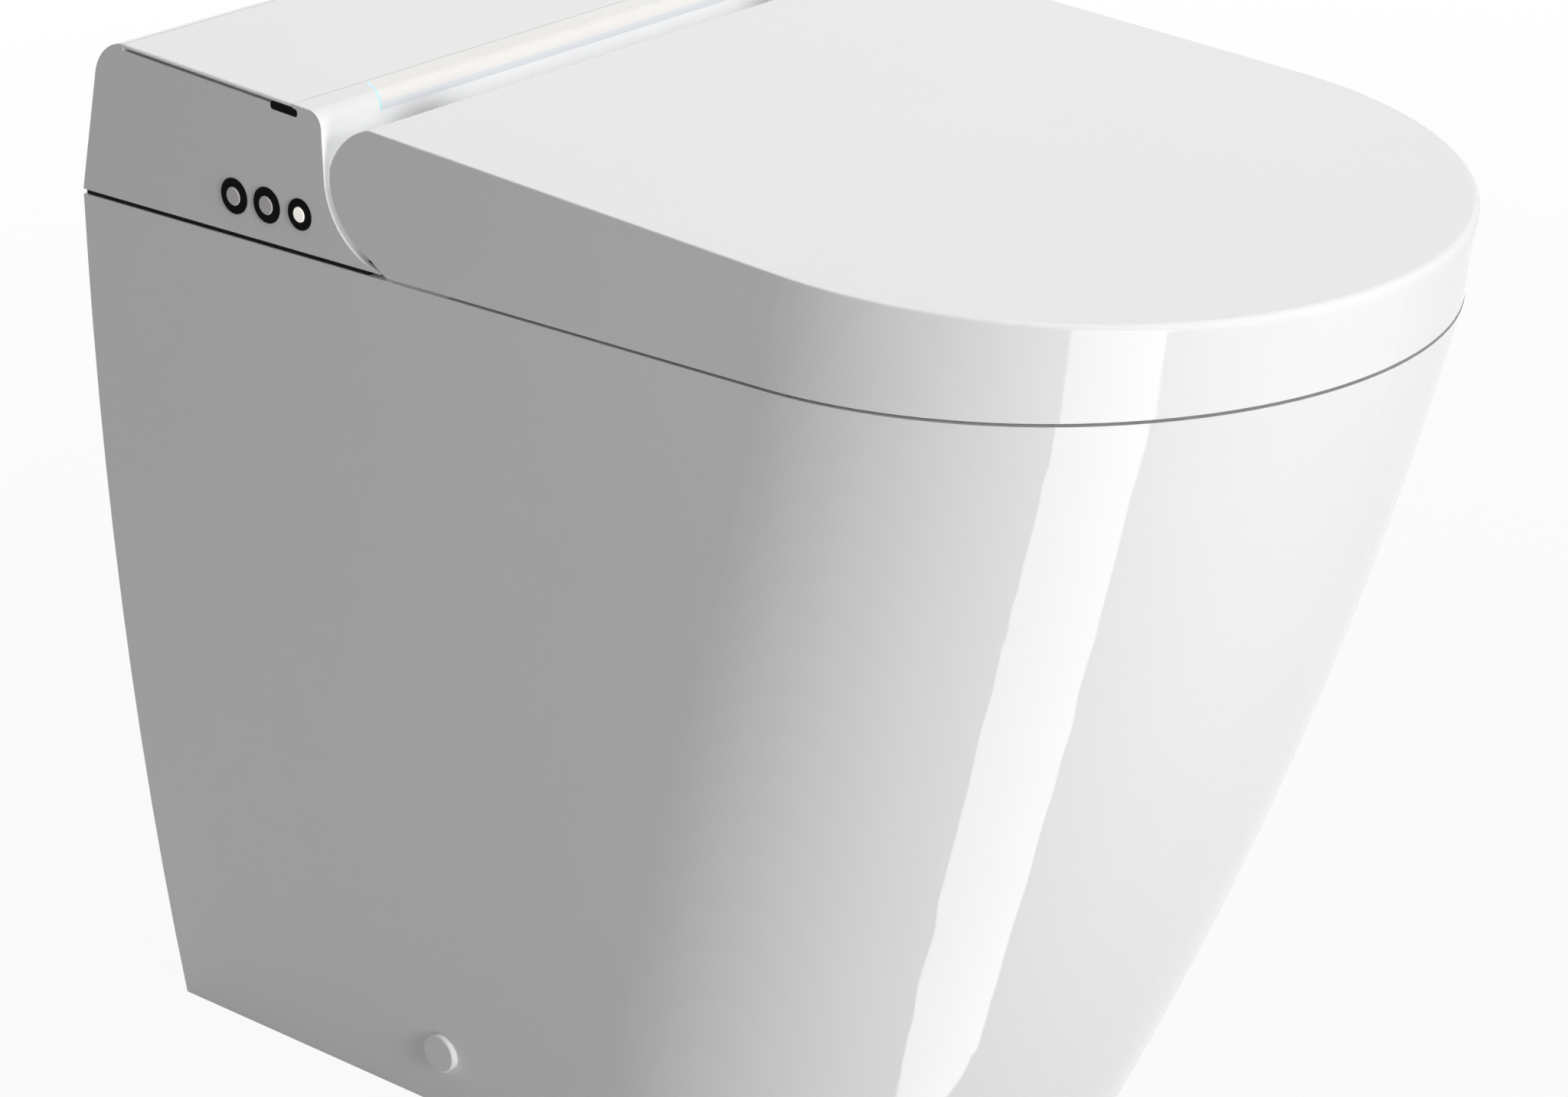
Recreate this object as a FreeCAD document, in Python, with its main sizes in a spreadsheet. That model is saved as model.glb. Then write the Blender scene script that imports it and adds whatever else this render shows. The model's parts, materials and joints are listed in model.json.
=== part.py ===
import FreeCAD, Part
import Sketcher
import math
import os
import re

# Bidet toilet. Millimetres, +Z up, the front faces -Y, the buttons are on the -X side.
# The origin lies on the floor under the middle of the plan.

sizes = {
    # Whole object
    "half_width": 192.5,
    "rear_y": 320,
    "rim_height": 452.3,
    "rim_front_y": -314,
    "seam_gap": 2.5,
    "unit_height": 84.4,
    "top_slope": 0.0659,
    "fit_gap": 0.4,
    "running_gap": 0.05,
    "slide_gap": 0.3,
    # Ceramic pedestal and bowl
    "base_half_width": 164,
    "base_front_y": -141,
    "side_belly": 9.6,
    "front_belly": 13.6,
    "ceramic_wall": 12,
    "deck_thickness": 16,
    "basin_y": -93,
    "basin_half_length": 178,
    "basin_half_width": 148,
    "sump_y": -52,
    "sump_half_length": 62,
    "sump_half_width": 48,
    "sump_height": 200,
    "basin_wall": 10,
    # Drain
    "outlet_radius": 51,
    "outlet_wall": 9,
    "outlet_height": 180,
    "outlet_setback": 8,
    "trap_bend": 58,
    "trap_mouth_shift": 12,
    "trap_mouth_rise": 25,
    "trap_low_y": 30,
    "trap_low_drop": 62,
    "trap_weir_y": 115,
    "trap_weir_rise": 62,
    "trap_drop_y": 205,
    "seal_length": 22,
    "seal_thickness": 5,
    # Floor fixing
    "fix_setback": 199,
    "fix_height": 36,
    "fix_cap_radius": 10.5,
    "fix_cap_stand": 3.5,
    "fix_cap_depth": 4.5,
    "fix_cap_round": 1.2,
    "fix_bore_depth": 8,
    "fix_head_radius": 6,
    "fix_head_height": 3.2,
    "fix_shank_radius": 3,
    "fix_shank_length": 22,
    "bracket_thickness": 4,
    "bracket_width": 40,
    "bracket_rise": 56,
    "bracket_foot": 42,
    "bracket_gap": 0.5,
    "floor_hole_radius": 4.5,
    "floor_hole_inset": 26,
    # Rear housing
    "housing_wall": 3,
    "hinge_y": 109,
    "channel_radius": 38.6,
    "toe_gap": 0.6,
    "toe_thickness": 0.8,
    "rear_lean": 15,
    "rear_corner_drop": 22.2,
    "rear_corner_setback": 36,
    "rear_corner_radius": 24,
    "front_corner_radius": 8,
    "cover_front_setback": 154,
    "cover_rear_setback": 37,
    "cover_thickness": 1.6,
    "cover_gap": 1.6,
    "cover_edge_round": 1.2,
    "strip_depth": 1.6,
    "strip_inset_top": 47.9,
    "strip_inset_front": 38.8,
    "light_width": 1,
    "window_setback": 139,
    "window_length": 18,
    "window_height": 4,
    "window_depth": 2,
    "port_height": 22,
    "port_back": 28.6,
    # Side buttons
    "button_rise": 18.4,
    "button_front_y": 165.2,
    "button_pitch": 22.4,
    "bezel_radius": 8.9,
    "bezel_bore": 4.9,
    "small_bezel_radius": 7.8,
    "small_bezel_bore": 4,
    "bezel_seat": 1.5,
    "bezel_stand": 0.7,
    "button_stand": 1.1,
    "button_travel": 1.2,
    "button_flange": 1.5,
    "button_flange_thickness": 1.2,
    "switch_size": 6,
    "switch_height": 3.4,
    "board_thickness": 1.6,
    "key_board_height": 22,
    "key_board_margin": 12,
    # Chassis, seal and bolts
    "seal_inset": 1.2,
    "seal_width": 16,
    "chassis_thickness": 3.4,
    "chassis_setback": 9,
    "plate_reach": 17.4,
    "seal_reach": 12.9,
    "tongue_reach": 12,
    "tongue_margin": 10,
    "post_width": 28,
    "post_half_depth": 9,
    "bolt_gap": 25.5,
    "bolt_setback": 150,
    "bolt_radius": 4,
    "bolt_head_radius": 7.5,
    "bolt_head_height": 5,
    "bolt_nut_radius": 10,
    "bolt_nut_height": 8,
    # Hinges
    "shaft_radius": 5,
    "shaft_entry": 10,
    "arm_inset": 16.5,
    "arm_gap": 3,
    "seat_arm_width": 14,
    "seat_arm_low_angle": 45,
    "seat_arm_high_angle": 100,
    "lid_arm_width": 12,
    "hinge_boss_radius": 11,
    "damper_radius": 10,
    "damper_length": 40,
    # Lid
    "lid_wall": 4,
    "lid_flare": 0.15,
    "lid_front_round": 4,
    "lid_side_round": 0.8,
    "lid_sink": 1,
    "lid_end_radius": 34.6,
    "lid_end_round": 40,
    "lid_top_back": 7,
    "lid_end_lift": 6,
    "lid_end_low": 32.5,
    "lid_toe_back": 0.1,
    "lid_lip": 5.6,
    "lid_notch_gap": 3,
    "lid_notch_rise": 19,
    "panel_drop": 4,
    "panel_thickness": 2.5,
    "panel_rear_gap": 46,
    "panel_peg_radius": 4,
    "peg_front_y": -176,
    "peg_rear_gap": 23,
    "peg_spread": 0.7,
    "lid_arm_reach": 34.5,
    # Seat
    "seat_gap": 4.5,
    "seat_front_gap": 9,
    "seat_rear_gap": 23,
    "seat_lift": 7.2,
    "seat_plate": 3,
    "seat_shell": 17.5,
    "seat_hole_y": -98,
    "seat_hole_half_length": 142,
    "seat_hole_half_width": 106,
    "seat_outer_round": 9,
    "seat_inner_round": 7,
    "seat_cavity_wall": 9,
    "seat_cavity_height": 6,
    "heater_foil": 0.8,
    "foil_margin": 2,
    "bumper_radius": 8,
    "bumper_gap": 0.3,
    "bumper_front_y": -215,
    "bumper_rear_y": 30,
    "bumper_spread": 0.78,
    "bumper_front_spread": 0.7,
    # Wash nozzle
    "nozzle_x": -28,
    "nozzle_exit_y": 128,
    "nozzle_drop": 1.3,
    "nozzle_tilt": 25,
    "nozzle_radius": 9,
    "nozzle_start": -12,
    "nozzle_end": 146,
    "nozzle_tip_length": 14,
    "guide_wall": 3,
    "guide_front": 15,
    "guide_length": 84,
    "guide_web": 10,
    "web_setback": 30.8,
    "web_length": 25.2,
    "recess_reach": 76,
    "recess_back": 45,
    "recess_margin": 16,
    "recess_gap": 5,
    "rack_width": 7,
    "rack_root": 6.1,
    "rack_tip": 8.15,
    "rack_base": 4.6,
    "gear_module": 1,
    "gear_teeth": 14,
    "gear_width": 6,
    "gear_u": 45,
    "gear_backlash": 0.5,
    "gear_head": 0.9,
    "gear_foot": 1.1,
    "tooth_root_share": 1.02,
    "tooth_tip_share": 0.46,
    "gap_root_share": 0.42,
    "gap_mouth_share": 1.16,
    "rack_lead": 3,
    "motor_radius": 11,
    "motor_length": 18,
    "motor_shaft_radius": 1.5,
    "motor_ear": 4,
    "motor_shaft_entry": 6,
    "hose_u": 66,
    "hose_boss": 4,
    # Warm air dryer
    "dryer_shift": 16,
    "duct_width": 30,
    "duct_half_height": 9,
    "duct_wall": 1.6,
    "duct_front": 8,
    "duct_length": 100,
    "flap_thickness": 2,
    "flap_u": 4,
    "flap_pin_radius": 1.2,
    "flap_pin_gap": 0.1,
    "fan_gap": 19.5,
    "fan_setback": 84,
    "fan_radius": 34,
    "fan_height": 50,
    "fan_wall": 2.5,
    "fan_inlet_radius": 15,
    "wheel_radius": 27,
    "wheel_height": 22,
    "wheel_gap": 3,
    "wheel_disc": 2,
    "blade_count": 16,
    "blade_depth": 6,
    "blade_thickness": 1,
    "fan_motor_radius": 13,
    "fan_motor_height": 20,
    "coil_plates": 4,
    "coil_length": 34,
    "coil_thickness": 0.8,
    "coil_start": 46,
    "coil_spread": 0.8,
    # Water parts
    "unit_gap": 6,
    "heater_width": 58,
    "heater_depth": 92,
    "heater_height": 44,
    "heater_round": 8,
    "heater_front_setback": 12,
    "inlet_inset": 49.5,
    "inlet_setback": 36,
    "valve_size": 34,
    "valve_height": 30,
    "coil_radius": 11,
    "coil_height": 16,
    "nipple_radius": 10.4,
    "nipple_bore": 6.5,
    "nipple_length": 48,
    "nipple_shoulder": 1,
    "nipple_gap": 2,
    "hose_radius": 4,
    "hose_bend": 7,
    "hose_drop": 6,
    "hose_lead": 3,
    "flush_spacing": 62,
    "flush_valve_width": 46,
    "flush_valve_depth": 27,
    "flush_valve_height": 36,
    "feed_radius": 11,
    "feed_bore": 8,
    "feed_drop": 64,
    "feed_bend": 26,
    # Electric parts
    "board_length": 96,
    "board_depth": 78,
    "board_rise": 40,
    "board_front_setback": 36,
    "pillar_radius": 4,
    "pillar_inset": 8,
    "chip_size": 18,
    "chip_height": 6,
    "relay_length": 28,
    "relay_depth": 14,
    "relay_height": 15,
    "relay_pitch": 19.6,
    "supply_width": 70,
    "supply_depth": 38,
    "supply_height": 32,
    "supply_setback": 24,
    "filter_width": 40,
    "filter_depth": 56,
    "filter_height": 30,
    "filter_inset": 45.5,
    "filter_front_setback": 44,
    "gland_inset": 49.5,
    "gland_rise": 18,
    "gland_radius": 9,
    "gland_bore": 3.5,
}

doc = FreeCAD.newDocument("bidet_toilet")
sheet = doc.addObject("Spreadsheet::Sheet", "dims")
for row, (size_name, number) in enumerate(sizes.items(), 1):
    sheet.set(f"A{row}", size_name)
    sheet.set(f"B{row}", str(number))
    sheet.setAlias(f"B{row}", size_name)
doc.recompute()

x_axis = FreeCAD.Vector(1, 0, 0)
y_axis = FreeCAD.Vector(0, 1, 0)
z_axis = FreeCAD.Vector(0, 0, 1)
words = re.compile(r"[a-z_][a-z_0-9]*")
nodes = []


def link(formula):
    """The formula with every size named as a cell of the sheet."""
    def cell(found):
        return "dims." + found.group() if found.group() in sizes else found.group()
    return words.sub(cell, str(formula))


def value(formula):
    """What the formula comes to."""
    return float(sheet.evalExpression(link(formula)))


def bind(item, **formulas):
    """Ties properties of an object to formulas."""
    for name, formula in formulas.items():
        item.setExpression(name, link(formula))
    return item


def place(item, x="0", y="0", z="0"):
    """Ties the position of an object to formulas."""
    for name, formula in (("x", x), ("y", y), ("z", z)):
        item.setExpression(f"Placement.Base.{name}", link(formula))
    return item


def turn(item, axis, angle):
    """Turns an object about an axis through its own zero, by a formula in degrees."""
    item.Placement = FreeCAD.Placement(FreeCAD.Vector(), FreeCAD.Rotation(axis, value(angle)))
    return item


def node(item):
    """Marks an object as a finished sub-part."""
    nodes.append(item)
    return item


def block(name, x, y, z):
    """A box between three pairs of formulas."""
    item = doc.addObject("Part::Box", name)
    bind(item, Length=f"({x[1]}) - ({x[0]})", Width=f"({y[1]}) - ({y[0]})", Height=f"({z[1]}) - ({z[0]})")
    return place(item, x[0], y[0], z[0])


def rod(name, radius, x, y, z):
    """A cylinder along the direction that is given as a pair."""
    item = doc.addObject("Part::Cylinder", name)
    spans = [x, y, z]
    run = [isinstance(span, tuple) for span in spans].index(True)
    bind(item, Radius=radius, Height=f"({spans[run][1]}) - ({spans[run][0]})")
    turn(item, *((y_axis, 90), (x_axis, -90), (z_axis, 0))[run])
    spans[run] = spans[run][0]
    return place(item, *spans)


def tilted(u, v):
    """World Y and Z of a point given along the nozzle (u) and square to it (v)."""
    y = f"nozzle_exit_y + ({u}) * cos(nozzle_tilt) - ({v}) * sin(nozzle_tilt)"
    z = f"rim_height - nozzle_drop + ({u}) * sin(nozzle_tilt) + ({v}) * cos(nozzle_tilt)"
    return y, z


def tilted_block(name, x, u, v):
    """A box in the slope of the nozzle."""
    item = doc.addObject("Part::Box", name)
    bind(item, Length=f"({x[1]}) - ({x[0]})", Width=f"({u[1]}) - ({u[0]})", Height=f"({v[1]}) - ({v[0]})")
    turn(item, x_axis, "nozzle_tilt")
    return place(item, x[0], *tilted(u[0], v[0]))


def tilted_rod(name, radius, u, v):
    """A cylinder along the nozzle, over the pair u, on the line of the nozzle plus v."""
    item = doc.addObject("Part::Cylinder", name)
    bind(item, Radius=radius, Height=f"({u[1]}) - ({u[0]})")
    turn(item, x_axis, "nozzle_tilt - 90")
    return place(item, "nozzle_x", *tilted(u[0], v))


def fuse(name, *items):
    """One solid of several."""
    item = doc.addObject("Part::MultiFuse", name)
    item.Shapes = list(items)
    item.Refine = True
    return item


def common(name, *items):
    """What several solids share."""
    item = doc.addObject("Part::MultiCommon", name)
    item.Shapes = list(items)
    item.Refine = True
    return item


def cut(name, base, *tools):
    """A solid less one or more tools."""
    item = doc.addObject("Part::Cut", name)
    item.Base = base
    item.Tool = tools[0] if len(tools) == 1 else fuse(name + "_tools", *tools)
    item.Refine = True
    return item


def group(name, *items):
    """Separate solids kept in one sub-part."""
    item = doc.addObject("Part::Compound", name)
    item.Links = list(items)
    return item


def mirrored(name, item):
    """The same solid on the other side."""
    other = doc.addObject("Part::Mirroring", name)
    other.Source = item
    other.Normal = x_axis
    other.Base = FreeCAD.Vector()
    return other


def rounded(name, base, radius, pick, middle_radius=None):
    """Rounds the edges that pick chooses by their middle point and their box. With a middle radius,
    the rounding grows from the part's sides towards its middle plane."""
    doc.recompute()
    item = doc.addObject("Part::Fillet", name)
    item.Base = base
    growth = value(middle_radius) - value(radius) if middle_radius else 0
    chosen = []
    for number, edge in enumerate(base.Shape.Edges, 1):
        middle = edge.valueAt((edge.FirstParameter + edge.LastParameter) / 2)
        if pick(middle, edge.BoundBox):
            ends = [edge.valueAt(edge.FirstParameter), edge.valueAt(edge.LastParameter)]
            sizes = [value(radius) + growth * (1 - abs(end.x) / value("half_width")) for end in ends]
            chosen.append((number, *sizes))
    item.Edges = chosen
    return item


def outline(name, corners, arcs=None, plane="YZ_Plane", at="0", body=None):
    """A closed sketch through corners given as formulas. An edge in arcs is an arc with the given
    radius and its centre on the left (1) or right (-1) of its run."""
    if body:
        sketch = body.newObject("Sketcher::SketchObject", name)
        support = [face for face in body.Origin.OriginFeatures if face.Role == plane]
        sketch.AttachmentSupport = [(support[0], "")]
        sketch.MapMode = "FlatFace"
    else:
        sketch = doc.addObject("Sketcher::SketchObject", name)
        if plane == "YZ_Plane":
            upright = FreeCAD.Rotation(y_axis, z_axis, x_axis, "ZXY")
            sketch.Placement = FreeCAD.Placement(FreeCAD.Vector(), upright)
            place(sketch, x=at)
        else:
            place(sketch, z=at)
    points = [FreeCAD.Vector(value(u), value(v), 0) for u, v in corners]
    ends = []
    for number, start in enumerate(points):
        stop = points[(number + 1) % len(points)]
        if arcs and number in arcs:
            radius = value(arcs[number][0])
            side = arcs[number][1]
            half = (stop - start) / 2
            across = FreeCAD.Vector(-half.y, half.x, 0).normalize() * side
            centre = start + half + across * math.sqrt(radius ** 2 - half.Length ** 2)
            angles = [math.atan2(p.y - centre.y, p.x - centre.x) for p in (start, stop)][::side]
            circle = Part.Circle(centre, z_axis, radius)
            sketch.addGeometry(Part.ArcOfCircle(circle, *angles))
            ends.append((1, 2)[::side])
        else:
            sketch.addGeometry(Part.LineSegment(start, stop))
            ends.append((1, 2))
    for number in range(len(points)):
        following = (number + 1) % len(points)
        join = Sketcher.Constraint("Coincident", number, ends[number][1], following, ends[following][0])
        sketch.addConstraint(join)
    for number, (corner, point) in enumerate(zip(corners, points)):
        for kind, formula, at_point, axis in zip(("DistanceX", "DistanceY"), corner, point[:2], (-2, -1)):
            if formula == "0":
                sketch.addConstraint(Sketcher.Constraint("PointOnObject", number, ends[number][0], axis))
                continue
            rule = Sketcher.Constraint(kind, -1, 1, number, ends[number][0], at_point)
            tie(sketch, rule, f"{kind}_{number}", formula)
    for number, (radius, side) in (arcs or {}).items():
        tie(sketch, Sketcher.Constraint("Radius", number, value(radius)), f"Radius_{number}", radius)
    return sketch


def tie(sketch, rule, name, formula):
    """Adds a dimension to a sketch and ties it to a formula."""
    number = sketch.addConstraint(rule)
    sketch.renameConstraint(number, name)
    sketch.setExpression(f"Constraints.{name}", link(formula))


def extruded(name, sketch, length, symmetric=True):
    """A sketch drawn out square to itself."""
    item = doc.addObject("Part::Extrusion", name)
    item.Base = sketch
    item.DirMode = "Normal"
    item.Solid = True
    item.Symmetric = symmetric
    return bind(item, LengthFwd=length)


def lofted(name, sections, ruled=False):
    """A solid through several sections."""
    item = doc.addObject("Part::Loft", name)
    item.Sections = sections
    item.Solid = True
    item.Ruled = ruled
    return item


def ellipse(name, y, z, along, across):
    """A level ellipse with its long way front to back."""
    item = doc.addObject("Part::Ellipse", name)
    bind(item, MajorRadius=along, MinorRadius=across)
    turn(item, z_axis, 90)
    return place(item, "0", y, z)


def turned(name, corners, arcs=None):
    """A body turned about its own Z from corners given as radius and height."""
    body = doc.addObject("PartDesign::Body", name)
    sketch = outline(name + "_sketch", corners, arcs, "XZ_Plane", body=body)
    feature = body.newObject("PartDesign::Revolution", name + "_turn")
    feature.Profile = sketch
    feature.ReferenceAxis = (sketch, ["V_Axis"])
    feature.Angle = 360
    return body


def padded(name, plane, corners, length, arcs=None):
    """A body padded from an outline on one of its own planes."""
    body = doc.addObject("PartDesign::Body", name)
    sketch = outline(name + "_sketch", corners, arcs, plane, body=body)
    feature = body.newObject("PartDesign::Pad", name + "_pad")
    feature.Profile = sketch
    bind(feature, Length=length)
    return body


def tube(name, points, bend, radius):
    """A round bar along straight runs joined by bends."""
    corners = [FreeCAD.Vector(*[value(formula) for formula in point]) for point in points]
    reach = value(bend)
    thickness = value(radius)
    pieces = []
    start = corners[0]
    for before, corner, after in zip(corners, corners[1:], corners[2:]):
        back = (before - corner).normalize()
        onward = (after - corner).normalize()
        turn_angle = math.pi - back.getAngle(onward)
        setback = reach * math.tan(turn_angle / 2)
        bend_start = corner + back * setback
        centre = corner + (back + onward).normalize() * (reach / math.cos(turn_angle / 2))
        disc = Part.Face(Part.Wire([Part.makeCircle(thickness, bend_start, back)]))
        pieces.append(Part.makeCylinder(thickness, (bend_start - start).Length, start, bend_start - start))
        pieces.append(disc.revolve(centre, onward.cross(back), math.degrees(turn_angle)))
        start = corner + onward * setback
    pieces.append(Part.makeCylinder(thickness, (corners[-1] - start).Length, start, corners[-1] - start))
    item = doc.addObject("Part::Feature", name)
    item.Shape = pieces[0].fuse(pieces[1:])
    return item


# Heights and lines that several pieces share.
seam_top = "(rim_height + seam_gap)"
chassis_top = f"({seam_top} + chassis_thickness)"
hinge_z = f"({seam_top} + toe_gap + channel_radius)"
front_wall = "(hinge_y + channel_radius)"
cover_front = "(rear_y - cover_front_setback)"
cover_rear = "(rear_y - cover_rear_setback)"
inner_side = "(half_width - housing_wall)"
fix_y = "(rear_y - fix_setback)"
seat_bottom = "(rim_height + seat_lift)"
seat_split = f"({seat_bottom} + seat_plate)"
seat_top = f"({seat_split} + seat_shell)"
seat_rear = "(hinge_y - seat_rear_gap)"
seat_front = "(rim_front_y + seat_front_gap)"
seat_half = "(half_width - lid_wall - seat_gap)"
heater_x = (f"({inner_side} - unit_gap - heater_width)", f"({inner_side} - unit_gap)")
fan_x = f"({heater_x[0]} - fan_gap - fan_radius)"
dryer_x = f"({fan_x} - dryer_shift)"
bolt_x = f"({heater_x[0]} - bolt_gap)"
inlet_x = f"({inner_side} - inlet_inset)"
flush_x = f"({inlet_x} - flush_spacing)"
recess_low_x = "(nozzle_x - nozzle_radius - recess_margin)"
recess_high_x = f"({dryer_x} + duct_width / 2 + recess_margin)"
lid_arm_outer = "(half_width - lid_wall - arm_inset)"
lid_arm_inner = f"({lid_arm_outer} - lid_arm_width)"
seat_arm_outer = f"({lid_arm_inner} - arm_gap)"
seat_arm_inner = f"({seat_arm_outer} - seat_arm_width)"
post_outer = f"({seat_arm_inner} - arm_gap)"
post_inner = f"({post_outer} - post_width)"


def top_at(y):
    """Height of the common slope of lid and housing."""
    return f"(rim_height + unit_height - top_slope * (rear_y - ({y})))"


def bulge(share):
    """A round belly: none at the floor and the rim, all of it half way up."""
    return f"(1 - (2 * {share} - 1) ^ 2)"


def side_at(share):
    """Half width of the pedestal at a share of its height."""
    straight = f"base_half_width + (half_width - base_half_width) * {share}"
    return f"({straight} + side_belly * {bulge(share)})"


def front_at(share):
    """Front of the pedestal at a share of its height."""
    straight = f"base_front_y + (rim_front_y - base_front_y) * {share}"
    return f"({straight} - front_belly * {bulge(share)})"


def d_section(name, half, front, rear, height):
    """A level section with straight sides, a square rear and a round front."""
    turn_in = f"{front} + {half}"
    corners = [(f"-({half})", rear), (half, rear), (half, turn_in), ("0", front), (f"-({half})", turn_in)]
    return outline(name, corners, {2: (half, -1), 3: (half, -1)}, "XY_Plane", height)


# Ceramic pedestal: a skirted shell with the bowl, the trap and the nozzle recess in one firing.
shares = (0, 0.25, 0.5, 0.75, 1)
pedestal_sections = []
hollow_sections = []
for number, share in enumerate(shares):
    half = side_at(share)
    front = front_at(share)
    height = f"rim_height * {share}"
    pedestal_sections.append(d_section(f"pedestal_section_{number}", half, front,
                                       "rear_y + ceramic_wall", height))
    hollow_height = f"(rim_height - deck_thickness) * {share}"
    hollow_sections.append(d_section(f"hollow_section_{number}", f"({half} - ceramic_wall)",
                                     f"({front} + ceramic_wall)", "rear_y + ceramic_wall * 2", hollow_height))
pedestal = lofted("pedestal", pedestal_sections)
rear_trim = block("rear_trim", ("-half_width * 2", "half_width * 2"), ("rear_y", "rear_y + ceramic_wall * 3"),
                  ("-ceramic_wall", "rim_height + ceramic_wall"))
hollow = lofted("hollow", hollow_sections)

basin_shape = ((0, 1), (0.2, 0.95), (0.55, 0.62), (0.88, 0.14), (1, 0))


def basin(name, extra):
    """The bowl's space, grown by extra, through rings at shares of its depth and spread."""
    rings = []
    for number, (depth, spread) in enumerate(basin_shape):
        y = f"sump_y + (basin_y - sump_y) * {spread}"
        z = f"rim_height - (rim_height - sump_height + {extra}) * {depth}"
        along = f"sump_half_length + (basin_half_length - sump_half_length) * {spread} + {extra}"
        across = f"sump_half_width + (basin_half_width - sump_half_width) * {spread} + {extra}"
        rings.append(ellipse(f"{name}_ring_{number}", y, z, along, across))
    return lofted(name, rings)


basin_outside = basin("basin_outside", "basin_wall")
basin_inside = basin("basin_inside", "0")

trap_points = [
    ("0", "sump_y + trap_mouth_shift", "sump_height + trap_mouth_rise"),
    ("0", "trap_low_y", "sump_height - trap_low_drop"),
    ("0", "trap_weir_y", "sump_height + trap_weir_rise"),
    ("0", "trap_drop_y", "outlet_height"),
    ("0", "rear_y - outlet_setback", "outlet_height"),
]
trap_outside = tube("trap_outside", trap_points, "trap_bend", "outlet_radius")
trap_inside = tube("trap_inside", trap_points, "trap_bend", "outlet_radius - outlet_wall")

recess_floor = "(nozzle_radius + recess_gap)"
recess = tilted_block("nozzle_recess", (recess_low_x, recess_high_x), ("-recess_reach", "recess_back"),
                      (f"-{recess_floor}", "recess_back"))
recess_bed = tilted_block("recess_bed", (f"{recess_low_x} - basin_wall", f"{recess_high_x} + basin_wall"),
                          ("-recess_reach", "recess_back + basin_wall"),
                          (f"-{recess_floor} - basin_wall", "recess_back"))
recess_bed = common("recess_bed_inside", recess_bed, pedestal)

fix_side = side_at("(fix_height / rim_height)")
fix_bore = rod("fix_bore", "fix_cap_radius", (f"{fix_side} - fix_bore_depth", f"{fix_side} + ceramic_wall"),
               fix_y, "fix_height")
fix_hole = rod("fix_hole", "fix_shank_radius + slide_gap",
               (f"{fix_side} - ceramic_wall * 2", f"{fix_side}"), fix_y, "fix_height")
fix_cut = fuse("fix_cut", fix_bore, fix_hole)
deck_span = ("rim_height - deck_thickness - ceramic_wall", "rim_height + ceramic_wall")
inlet_y = "(rear_y - inlet_setback)"
inlet_hole = rod("inlet_hole", "nipple_radius + nipple_shoulder + nipple_gap", inlet_x, inlet_y, deck_span)
feed_hole = rod("feed_hole", "feed_radius + nipple_gap", flush_x, inlet_y, deck_span)
feed_level = "(rim_height - feed_drop)"
feed_front = f"(basin_y + basin_half_length * sqrt(1 - ({flush_x} / basin_half_width) ^ 2))"
feed_mouth = rod("feed_mouth", "feed_radius + slide_gap", flush_x,
                 (feed_front + " - basin_wall * 4", feed_front + " + basin_wall * 5"), feed_level)
bolt_y = "(rear_y - bolt_setback)"
bolt_hole = rod("bolt_hole", "bolt_radius + slide_gap", bolt_x, bolt_y, deck_span)

bowl_body = fuse("bowl_body", cut("pedestal_shell", pedestal, hollow, rear_trim),
                 common("basin_shell", basin_outside, pedestal), trap_outside, recess_bed)
bowl_open = cut("bowl_open", bowl_body, basin_inside, trap_inside, recess)
ceramic_bowl = node(cut("ceramic_bowl", bowl_open, fix_cut, mirrored("fix_cut_other", fix_cut), inlet_hole,
                        feed_hole, feed_mouth, bolt_hole, mirrored("bolt_hole_other", bolt_hole)))

# Rubber ring on the drain spigot.
outlet_seal = turned("outlet_seal", [
    ("outlet_radius", "0"),
    ("outlet_radius + seal_thickness", "0"),
    ("outlet_radius + seal_thickness", "seal_length"),
    ("outlet_radius", "seal_length")])
turn(outlet_seal, x_axis, 90)
node(place(outlet_seal, "0", "rear_y - outlet_setback", "outlet_height"))

# Floor brackets inside the skirt, with the screws that reach them and the caps over the screws.
bracket_face = "(base_half_width - ceramic_wall - bracket_gap)"
bracket_y = (f"{fix_y} - bracket_width / 2", f"{fix_y} + bracket_width / 2")
bracket_leg = block("bracket_leg", (f"{bracket_face} - bracket_thickness", bracket_face), bracket_y,
                    ("0", "bracket_rise"))
bracket_foot = block("bracket_foot_plate", (f"{bracket_face} - bracket_foot", bracket_face), bracket_y,
                     ("0", "bracket_thickness"))
bracket_eye = rod("bracket_eye", "fix_shank_radius + running_gap",
                  (f"{bracket_face} - bracket_foot", f"{fix_side}"), fix_y, "fix_height")
bracket_hole = rod("bracket_hole", "floor_hole_radius", f"{bracket_face} - floor_hole_inset", fix_y,
                   ("-bracket_thickness", "bracket_thickness * 2"))
bracket = cut("bracket", fuse("bracket_angle", bracket_leg, bracket_foot), bracket_eye, bracket_hole)
node(group("floor_brackets", bracket, mirrored("bracket_other", bracket)))

fix_screw = turned("fix_screw", [
    ("0", "0"),
    ("fix_head_radius", "0"),
    ("fix_head_radius", "-fix_head_height"),
    ("fix_shank_radius", "-fix_head_height"),
    ("fix_shank_radius", "-fix_head_height - fix_shank_length"),
    ("0", "-fix_head_height - fix_shank_length")])
turn(fix_screw, y_axis, 90)
place(fix_screw, f"{fix_side} - fix_bore_depth + fix_head_height", fix_y, "fix_height")
node(group("side_fixing_screws", fix_screw, mirrored("fix_screw_other", fix_screw)))

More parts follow.
